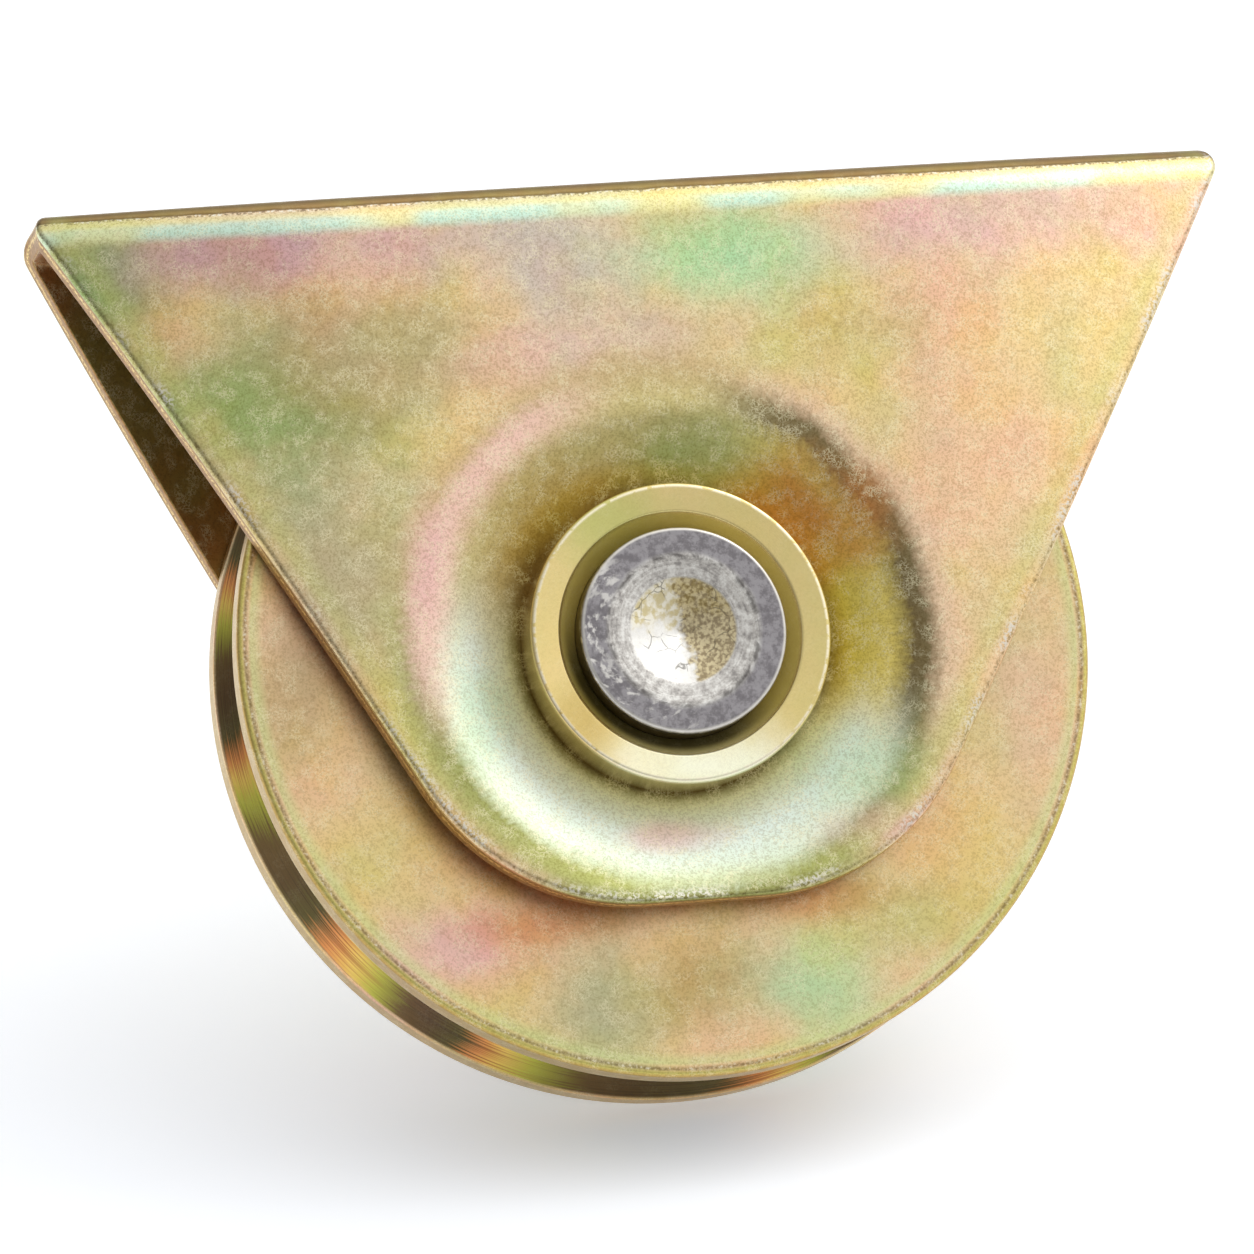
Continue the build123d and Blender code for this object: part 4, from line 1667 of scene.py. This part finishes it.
@dataclass
class AxleSet:
    """The pin and the two collars that it is swaged over."""

    dish_floor: float
    collar_height: float = 5.3 * MM
    collar_radius: float = 14.0 * MM
    collar_round: float = 0.4 * MM
    collar_face_drop: float = 0.3 * MM
    cone_radius: float = 11.4 * MM
    cone_depth: float = 1.5 * MM
    shank_radius: float = 8.5 * MM
    pin_radius: float = 9.6 * MM
    pin_rise: float = 1.2 * MM
    pin_length: float = 3.6 * MM
    flare: float = 0.8 * MM
    pin_round: float = 0.4 * MM
    land_radius: float = 7.0 * MM
    land_drop: float = 0.35 * MM
    centre_radius: float = 5.1 * MM
    centre_depth: float = 1.5 * MM
    foot_round: float = 0.1 * MM
    lip_round: float = 0.5 * MM
    seat_round: float = 0.2 * MM
    land_round: float = 0.3 * MM
    centre_round: float = 0.25 * MM
    pin_segments: int = 200
    dent_pitch: float = 0.3 * MM
    dent_depth: float = 0.07 * MM
    dent_reach: float = 1.6 * MM
    dent_size: float = 2.2 * MM
    fine_dent_size: float = 0.7 * MM
    fine_dent_share: float = 0.35

    @property
    def collar_face(self) -> float:
        """Distance of a collar's face from the middle plane."""
        return self.dish_floor + self.collar_height

    @property
    def pin_end(self) -> float:
        """Distance of the pin's end from the middle plane."""
        return self.collar_face + self.pin_rise

    def collar(self, end: End, material: bpy.types.Material) -> bpy.types.Object:
        """Turns one collar."""
        cone_start = self.collar_face - self.collar_face_drop - self.cone_depth
        flare_end = self.pin_end - self.pin_length
        section = [
            (self.shank_radius, self.dish_floor),
            (self.collar_radius, self.dish_floor),
            (self.collar_radius, self.collar_face),
            (self.cone_radius, self.collar_face - self.collar_face_drop),
            (self.pin_radius, cone_start),
            (self.pin_radius, flare_end),
            (self.shank_radius, flare_end - self.flare),
        ]
        section = [(radius, end.value * y) for radius, y in section]
        rounds = dict(enumerate((self.foot_round, self.collar_round, self.lip_round, self.seat_round), 1))
        part = TurnedPart(f"turned_collar_{end.word}", section, material)
        return part.rounded(rounds).build()

    def pin(self, material: bpy.types.Material) -> bpy.types.Object:
        """Turns the pin, then roughens its swaged ends."""
        flare_end = self.pin_end - self.pin_length
        low = self.pin_end - self.land_drop
        half = [
            (self.shank_radius, flare_end - self.flare),
            (self.pin_radius, flare_end),
            (self.pin_radius, self.pin_end),
            (self.land_radius, self.pin_end),
            (self.centre_radius, low),
            (0.0, low - self.centre_depth),
        ]
        section = [(radius, -y) for radius, y in reversed(half)] + half
        rounds = {}
        for corner, size in ((1, self.centre_round), (2, self.land_round), (3, self.pin_round)):
            rounds[corner] = rounds[len(section) - 1 - corner] = size
        part = TurnedPart("swaged_pin", section, material, self.pin_segments).rounded(rounds)
        part.section = finely(part.section, self.dent_pitch, flare_end)
        piece = part.build()
        self.batter(piece)
        return piece

    def batter(self, piece: bpy.types.Object) -> None:
        """Gives the swaged ends their slight dents and waves.

        Args:
            piece: The pin.
        """
        for vertex in piece.data.vertices:
            place = vertex.co
            if abs(place.y) < self.pin_end - self.dent_reach:
                continue
            reach = math.hypot(place.x, place.z)
            wave = noise.noise(Vector((place.x, place.y * 3, place.z)) / self.dent_size)
            fine = noise.noise(Vector((place.x, 11 * MM + place.y, place.z)) / self.fine_dent_size)
            dent = (wave + self.fine_dent_share * fine) * min(reach / self.land_radius, 1.0)
            place.y -= math.copysign(max(dent * self.dent_depth, 0.0), place.y)


def finely(section: list[tuple[float, float]], pitch: float, beyond: float) -> list[tuple[float, float]]:
    """Adds points along a section's long lines at both ends of a pin.

    Args:
        section: Points of radius and place along the axle.
        pitch: Largest distance between two points.
        beyond: Distance from the middle plane past which points are added.

    Returns:
        The finer section.
    """
    made = [section[0]]
    for start, end in zip(section, section[1:]):
        length = math.dist(start, end)
        ends = abs(start[1]) >= beyond and abs(end[1]) >= beyond and start[1] * end[1] > 0
        steps = max(math.ceil(length / pitch), 1) if ends else 1
        for step in range(1, steps + 1):
            share = step / steps
            made.append(tuple(a + (b - a) * share for a, b in zip(start, end)))
    return made


@dataclass
class BallBearing:
    """The balls and the cage's rivets, which geometry nodes set round the pitch circle."""

    ball_count: int = 8
    ball_radius: float = 3.375 * MM
    pitch_radius: float = 14.25 * MM
    rivet_radius: float = 0.5 * MM
    rivet_head_radius: float = 0.85 * MM
    rivet_head_height: float = 0.35 * MM
    cage_thickness: float = 0.5 * MM
    ball_subdivisions: int = 5
    rivet_facets: int = 24

    def ball_tree(self) -> bpy.types.NodeTree:
        """The group that sets one ball on the pitch circle at an angle about the axle."""
        inputs = {"Angle": "NodeSocketFloat", "Radius": "NodeSocketFloat", "Material": "NodeSocketMaterial"}
        tree = GeometryTree("ball_on_pitch_circle", inputs)
        ball = {"Radius": tree.given["Radius"], "Subdivisions": self.ball_subdivisions}
        sphere = tree.node("GeometryNodeMeshIcoSphere", None, ball)
        out = tree.moved(sphere, Translation=(self.pitch_radius, 0.0, 0.0))
        turn = tree.node("ShaderNodeCombineXYZ", None, {1: tree.given["Angle"]})
        return tree.end(tree.moved(out, Rotation=turn))

    def rivet_tree(self) -> bpy.types.NodeTree:
        """The group that sets a domed rivet in each gap between two balls."""
        sizes = ("Pitch Radius", "Head Radius", "Head Height")
        inputs = {"Count": "NodeSocketInt", **dict.fromkeys(sizes, "NodeSocketFloat")}
        tree = GeometryTree("rivets_round_cage", {**inputs, "Material": "NodeSocketMaterial"})
        count, pitch, radius, height = (tree.given[name] for name in ("Count", *sizes))
        ring = tree.node("GeometryNodeCurvePrimitiveCircle", None, {"Resolution": count, "Radius": pitch})
        spots = tree.node("GeometryNodeCurveToPoints", {"mode": "COUNT"}, {0: ring, "Count": count})
        rod = {"Vertices": self.rivet_facets, "Radius": self.rivet_radius, "Depth": 2 * self.cage_thickness}
        parts = [tree.node("GeometryNodeMeshCylinder", None, rod)]
        ball = {"Segments": self.rivet_facets, "Rings": self.rivet_facets // 2, "Radius": 1.0}
        for side in (-1, 1):
            head = tree.node("GeometryNodeMeshUVSphere", None, ball)
            size = tree.node("ShaderNodeCombineXYZ", None, {0: radius, 1: radius, 2: height})
            parts.append(tree.moved(head, Scale=size, Translation=(0.0, 0.0, side * self.cage_thickness)))
        joined = tree.node("GeometryNodeJoinGeometry")
        for part in parts:
            tree.tree.links.new(part.outputs[0], joined.inputs[0])
        set_out = tree.node("GeometryNodeInstanceOnPoints", None, {"Points": spots, "Instance": joined})
        return tree.end(tree.moved(set_out, Rotation=(math.pi / 2, math.pi / self.ball_count, 0.0)))

    def balls(self, material: bpy.types.Material) -> list[bpy.types.Object]:
        """Makes the balls, each a piece of its own because each rolls by itself."""
        tree = self.ball_tree()
        values = {"Radius": self.ball_radius, "Material": material}
        made = []
        for index in range(self.ball_count):
            values["Angle"] = index * 2 * math.pi / self.ball_count
            made.append(grow(f"rolling_ball_{index + 1}", tree, values))
        return made

    def rivets(self, material: bpy.types.Material) -> bpy.types.Object:
        """Makes all rivets as one piece that rides on the cage."""
        values = {
            "Count": self.ball_count,
            "Pitch Radius": self.pitch_radius,
            "Head Radius": self.rivet_head_radius,
            "Head Height": self.rivet_head_height,
            "Material": material,
        }
        return grow("cage_rivets", self.rivet_tree(), values)


@dataclass(frozen=True)
class PhotoCamera:
    """The photograph's camera, in the row frame."""

    place: tuple[float, float, float] = (-0.17329, -0.8074, -0.14023)
    right: tuple[float, float, float] = (0.9765, -0.1892, -0.1034)
    up: tuple[float, float, float] = (0.0671, -0.1889, 0.9797)
    focal_pixels: float = 9000.0
    frame_pixels: float = 1254.0
    sensor: float = 36.0

    def axes(self) -> tuple[Vector, Vector, Vector]:
        """The camera's right, up and back directions."""
        right = Vector(self.right).normalized()
        up = Vector(self.up)
        up = (up - right * up.dot(right)).normalized()
        return right, up, right.cross(up)

    def make(self) -> bpy.types.Object:
        """Creates the camera and makes it the scene's own."""
        data = bpy.data.cameras.new("camera")
        data.sensor_width = self.sensor
        data.sensor_fit = "HORIZONTAL"
        data.lens = self.focal_pixels / self.frame_pixels * self.sensor
        data.clip_start = 0.01
        data.clip_end = 100.0
        camera = new_object("camera", data)
        turn = Matrix(self.axes()).transposed().to_4x4()
        camera.matrix_world = Matrix.Translation(self.place) @ turn
        bpy.context.scene.camera = camera
        return camera


@dataclass(frozen=True)
class SoftBox:
    """A square studio lamp that faces the object."""

    name: str
    towards: tuple[float, float, float]
    distance: float
    size: float
    brightness: float

    def make(self) -> bpy.types.Object:
        """Creates the lamp. Its power gives its face the stated brightness."""
        data = bpy.data.lights.new(self.name, "AREA")
        data.shape = "SQUARE"
        data.size = self.size
        data.energy = self.brightness * math.pi * self.size**2
        lamp = new_object(self.name, data)
        direction = Vector(self.towards).normalized()
        lamp.location = direction * self.distance
        lamp.rotation_mode = "QUATERNION"
        lamp.rotation_quaternion = direction.to_track_quat("Z", "Y")
        return lamp


@dataclass
class Studio:
    """Pale floor, white background and one soft box.

    The floor's slope follows the photograph, which looks down on it although it looks up at the
    wheel. It is seen from above alone, so it never hides the wheel in other views.
    """

    camera: PhotoCamera
    floor_tilt: float = math.radians(25.0)
    floor_size: float = 6.0
    wheel_radius: float = 40.0 * MM
    wheel_half_width: float = 9.0 * MM
    floor_glow: Colour = (0.25, 0.27, 0.30)
    floor_paint: Colour = (0.97, 0.98, 1.0)
    light_way: tuple[float, float, float] = (0.60, -0.35, 0.72)
    key_box: SoftBox = SoftBox("key_box", (0.62, -0.25, 0.74), 3.0, 1.3, 1.6)
    mirrored_floor: Span = (-70.0, -25.0)
    room_level: float = 0.36
    room_rises: tuple[Line, ...] = ((-0.4, 0.5, 0.36), (0.35, 0.75, 0.3), (0.75, 1.0, 0.5))
    backdrop_side: Span = (0.2, 0.5)
    backdrop_top: Span = (0.3, 0.5)
    backdrop_gain: float = 0.7
    overhead_loss: float = 0.5

    def floor_normal(self) -> Vector:
        """The floor's upward direction in the row frame."""
        _, up, back = self.camera.axes()
        return (up * math.cos(self.floor_tilt) + back * math.sin(self.floor_tilt)).normalized()

    def make_floor(self) -> bpy.types.Object:
        """Creates the floor where the rim would touch it."""
        normal = self.floor_normal()
        across = math.hypot(normal.x, normal.z)
        height = -self.wheel_radius * across - self.wheel_half_width * abs(normal.y)
        half = self.floor_size / 2
        points = np.array([(-half, -half, 0), (half, -half, 0), (half, half, 0), (-half, half, 0)])
        floor = smooth_mesh("floor", points, [(0, 1, 2, 3)])
        floor.rotation_mode = "QUATERNION"
        floor.rotation_quaternion = normal.to_track_quat("Z", "Y")
        floor.location = normal * height
        floor.data.materials.append(self.floor_finish())
        return floor

    def floor_finish(self) -> bpy.types.Material:
        """Pale floor that keeps the shadow, and that is clear from below."""
        surface = Surface("pale_floor")
        path = surface.node("ShaderNodeLightPath").outputs
        seen = Value(surface, path["Is Camera Ray"]).at_least(path["Is Transmission Ray"])
        mirrored = Value(surface, path["Is Glossy Ray"]) * surface.y.ramp(*self.mirrored_floor)
        seen = seen.at_least(mirrored)
        paint = surface.node("ShaderNodeBsdfDiffuse", None, {"Color": self.floor_paint})
        shine = surface.colour_mix(seen, (0.0, 0.0, 0.0), self.floor_glow)
        glow = surface.node("ShaderNodeEmission", None, {"Color": shine, "Strength": 1.0})
        lit = surface.node("ShaderNodeAddShader", None, {0: paint, 1: glow})
        clear = surface.node("ShaderNodeBsdfTransparent")
        below = surface.node("ShaderNodeNewGeometry").outputs["Backfacing"]
        mixed = surface.node("ShaderNodeMixShader", None, {0: below, 1: lit, 2: clear})
        surface.node("ShaderNodeOutputMaterial", None, {"Surface": mixed})
        return surface.material

    def make_world(self) -> None:
        """White background for the camera, and a plain room for everything else.

        Behind the object the room is the white backdrop, in front of it and overhead it is grey.
        """
        world = bpy.data.worlds.new("studio")
        world.use_nodes = True
        bpy.context.scene.world = world
        tree = NodeTree(world.node_tree)
        place = tree.node("ShaderNodeTexCoord").outputs["Generated"]
        axes = tree.node("ShaderNodeSeparateXYZ", None, {0: place})
        across, along, up = (Value(tree, axes.outputs[index]) for index in range(3))
        way = sum(part * share for part, share in zip((across, along, up), self.light_way))
        level = sum((way.ramp(*rise) for rise in self.room_rises), self.room_level)
        behind = along.ramp(*self.backdrop_side)
        low, high = self.backdrop_top
        level = level * (1 - behind * up.ramp(low, high, self.overhead_loss))
        level = level + behind * up.ramp(high, low, self.backdrop_gain)
        path = tree.node("ShaderNodeLightPath").outputs
        seen = Value(tree, path["Is Camera Ray"]).at_least(path["Is Transmission Ray"])
        shown = level * (1 - seen) + seen
        light = tree.node("ShaderNodeBackground", None, {"Color": shown, "Strength": 1.0})
        tree.node("ShaderNodeOutputWorld", None, {"Surface": light})

    def make(self) -> None:
        """Creates the floor, the world and the lamp."""
        self.make_floor()
        self.make_world()
        self.key_box.make()
        log.info("studio: floor, world and %s", self.key_box.name)


WING_CLOUDS = (
    Cloud(-50.0, 37.0, 9.0, 8.0, Film.LEAF, 0.95),
    Cloud(-36.0, 24.0, 18.0, 11.0, Film.LEAF, 0.85),
    Cloud(-29.0, 8.0, 11.0, 12.0, Film.SAGE, 0.80),
    Cloud(-24.0, -6.0, 8.0, 10.0, Film.LIME, 0.70),
    Cloud(-37.0, 39.0, 14.0, 5.0, Film.MAUVE, 0.90),
    Cloud(-24.0, 30.0, 13.0, 8.0, Film.KHAKI, 0.80),
    Cloud(-24.0, 39.0, 12.0, 5.5, Film.MAUVE, 0.60),
    Cloud(-7.0, 36.0, 12.0, 8.0, Film.PEARL, 0.80),
    Cloud(1.0, 28.0, 12.0, 5.0, Film.PEARL, 0.50),
    Cloud(-9.0, 27.0, 10.0, 4.0, Film.ROSE, 0.45),
    Cloud(9.5, 35.5, 13.0, 6.0, Film.MINT, 0.95),
    Cloud(18.0, 28.0, 9.0, 5.0, Film.LIME, 0.55),
    Cloud(30.0, 38.0, 13.0, 7.0, Film.ROSE, 0.85),
    Cloud(47.0, 38.5, 12.0, 6.0, Film.ROSE, 0.85),
    Cloud(41.0, 26.0, 9.0, 8.0, Film.STRAW, 0.85),
    Cloud(31.0, 13.0, 10.0, 14.0, Film.PEACH, 0.85),
    Cloud(28.0, -2.0, 6.0, 8.0, Film.PEACH, 0.70),
    Cloud(-6.0, -23.0, 15.0, 3.5, Film.SAGE, 0.70),
    Cloud(13.0, -21.5, 9.0, 4.5, Film.LIME, 0.60),
)
DISH_CLOUDS = (
    Cloud(-11.0, 13.5, 8.0, 5.0, Film.GOLD, 0.40),
    Cloud(2.0, 17.5, 9.0, 4.0, Film.LEAF, 0.60),
    Cloud(-22.0, 8.0, 2.5, 7.0, Film.ROSE, 0.50),
    Cloud(14.0, 10.5, 8.5, 7.0, Film.ORANGE, 0.80),
    Cloud(15.0, -13.0, 8.0, 5.0, Film.MINT, 0.40),
    Cloud(-19.0, -6.0, 3.0, 6.0, Film.MINT, 0.35),
    Cloud(-3.0, -18.0, 6.0, 1.8, Film.ROSE, 0.60),
    Cloud(18.0, -19.0, 7.0, 3.0, Film.ROSE, 0.60),
)
WHEEL_CLOUDS_AND_SHADE = (
    Cloud(-35.0, -2.0, 6.0, 10.0, Film.KHAKI, 0.80),
    Cloud(-29.0, -17.0, 9.0, 8.0, Film.STRAW, 0.90),
    Cloud(-22.0, -27.0, 9.0, 5.0, Film.ROSE, 0.80),
    Cloud(-9.5, -32.0, 9.0, 7.0, Film.SAGE, 0.90),
    Cloud(1.0, -31.0, 7.0, 5.0, Film.GOLD, 0.60),
    Cloud(10.0, -32.0, 9.0, 6.0, Film.MINT, 0.75),
    Cloud(24.0, -24.0, 9.0, 8.0, Film.STRAW, 0.60),
    Cloud(20.0, -27.0, 8.0, 5.0, Film.LIME, 0.60),
    Cloud(34.0, -7.0, 7.0, 12.0, Film.PEACH, 0.90),
    # These two orange clouds are painted shade: a warm shadow under the bracket's edge.
    Cloud(-14.0, -25.0, 9.0, 2.5, Film.ORANGE, 0.50),
    Cloud(12.0, -24.5, 8.0, 2.5, Film.ORANGE, 0.50),
)
COLLAR_CLOUDS_AND_HIGHLIGHT = (
    Cloud(-6.0, 11.0, 8.0, 5.0, Film.LIME, 0.70),
    # This pale cloud is a painted highlight on the lower part of the collar's face.
    Cloud(1.0, -12.5, 11.0, 4.5, Film.PALE, 0.95),
    Cloud(-10.0, -7.0, 3.0, 5.0, Film.GOLD, 0.50),
)


class HiddenSteel(Enum):
    """The steels of the pieces inside."""

    PLAIN = PlainSteel("plain_steel", linear(150, 148, 144), linear(196, 193, 188), 0.32)
    SPRING = PlainSteel("spring_steel", linear(44, 42, 40), linear(92, 88, 84), 0.42, Grain.ROLLED)
    BEARING = PlainSteel("bearing_steel", linear(176, 176, 176), linear(214, 214, 213), 0.18)
    SHIELD = PlainSteel("shield_steel", linear(160, 160, 158), linear(198, 198, 195), 0.3)
    CAGE = PlainSteel("cage_steel", linear(150, 148, 142), linear(186, 183, 176), 0.34, Grain.ROLLED)
    BALL = PlainSteel("ball_steel", linear(214, 214, 214), linear(232, 232, 232), 0.07, Grain.ROLLED)


@dataclass(frozen=True)
class Finishes:
    """Every finish of the object, made once."""

    sheet: bpy.types.Material
    wheel: bpy.types.Material
    collar: bpy.types.Material
    pin: bpy.types.Material
    hidden: dict[HiddenSteel, bpy.types.Material]

    @classmethod
    def make(cls, axle: AxleSet) -> Finishes:
        """Builds the materials. The axle set gives the radii of the marks on the pin and the collars."""
        return cls(
            sheet=SheetZinc("yellow_zinc_sheet", clouds=WING_CLOUDS, dish_clouds=DISH_CLOUDS).make(),
            wheel=WheelZinc("yellow_zinc_wheel", clouds=WHEEL_CLOUDS_AND_SHADE, grain=0.34).make(),
            collar=CollarZinc(
                "yellow_zinc_collar",
                clouds=COLLAR_CLOUDS_AND_HIGHLIGHT,
                collar_radius=axle.collar_radius / MM,
                cone_radius=axle.cone_radius / MM,
                face_place=axle.collar_face / MM,
            ).make(),
            pin=SwagedSteel(
                "bare_pin_steel",
                axle.land_radius / MM,
                axle.centre_radius / MM,
                axle.pin_radius / MM,
                axle.pin_end / MM,
            ).make(),
            hidden={steel: steel.value.make() for steel in HiddenSteel},
        )


def add_piece(piece: bpy.types.Object, body: str, slot: str, *nodes: str) -> None:
    """Makes a finished piece ride on its body and stand for its nodes.

    Args:
        piece: The piece.
        body: The body that it moves with.
        slot: The record's material slot; not used.
        nodes: The nodes that it stands for.
    """
    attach(piece, body)
    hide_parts(*nodes)
    log.info("%s: %d faces on %s", piece.name, len(piece.data.polygons), body)


def dress_node(nodes: dict[str, bpy.types.Object], name: str, material: bpy.types.Material) -> None:
    """Gives a node that stays its finish.

    Args:
        nodes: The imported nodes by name.
        name: The node's name.
        material: The finish.
    """
    node = nodes[name]
    if not node.material_slots:
        node.data.materials.append(material)
    for slot in node.material_slots:
        slot.material = material
    log.info("%s: finish %s", name, material.name)


def main() -> None:
    """Builds the classes in order."""
    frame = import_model()
    camera = PhotoCamera()
    camera.make()
    bracket = FoldedBracket()
    axle = AxleSet(bracket.dish_floor())
    finishes = Finishes.make(axle)
    add_piece(bracket.build(finishes.sheet), "frame", "yellow_zinc_sheet", "bracket")
    add_piece(GrooveWheel().build(finishes.wheel), "wheel", "yellow_zinc_wheel", "wheel")
    for end in End:
        node = f"collar_{end.word}"
        add_piece(axle.collar(end, finishes.collar), "frame", "yellow_zinc_collar", node)
    add_piece(axle.pin(finishes.pin), "frame", "bare_pin_steel", "axle_pin")
    bearing = BallBearing()
    for index, ball in enumerate(bearing.balls(finishes.hidden[HiddenSteel.BALL]), start=1):
        add_piece(ball, f"ball_{index}", "ball_steel", f"bearing_ball_{index}")
    rivet_nodes = [f"cage_rivet_{index + 1}" for index in range(bearing.ball_count)]
    add_piece(bearing.rivets(finishes.hidden[HiddenSteel.CAGE]), "cage", "cage_steel", *rivet_nodes)
    nodes = frame["nodes"]
    dress_node(nodes, "retaining_ring", finishes.hidden[HiddenSteel.SPRING])
    for ring in ("inner", "outer"):
        dress_node(nodes, f"bearing_{ring}_ring", finishes.hidden[HiddenSteel.BEARING])
    for end in End:
        dress_node(nodes, f"spacer_{end.word}", finishes.hidden[HiddenSteel.PLAIN])
        dress_node(nodes, f"bearing_shield_{end.word}", finishes.hidden[HiddenSteel.SHIELD])
        dress_node(nodes, f"bearing_cage_{end.word}", finishes.hidden[HiddenSteel.CAGE])
    Studio(camera).make()
    bpy.context.scene.view_settings.view_transform = "Standard"


if __name__ == "__main__":
    logging.basicConfig(level=logging.INFO, format="%(name)s: %(message)s")
    main()
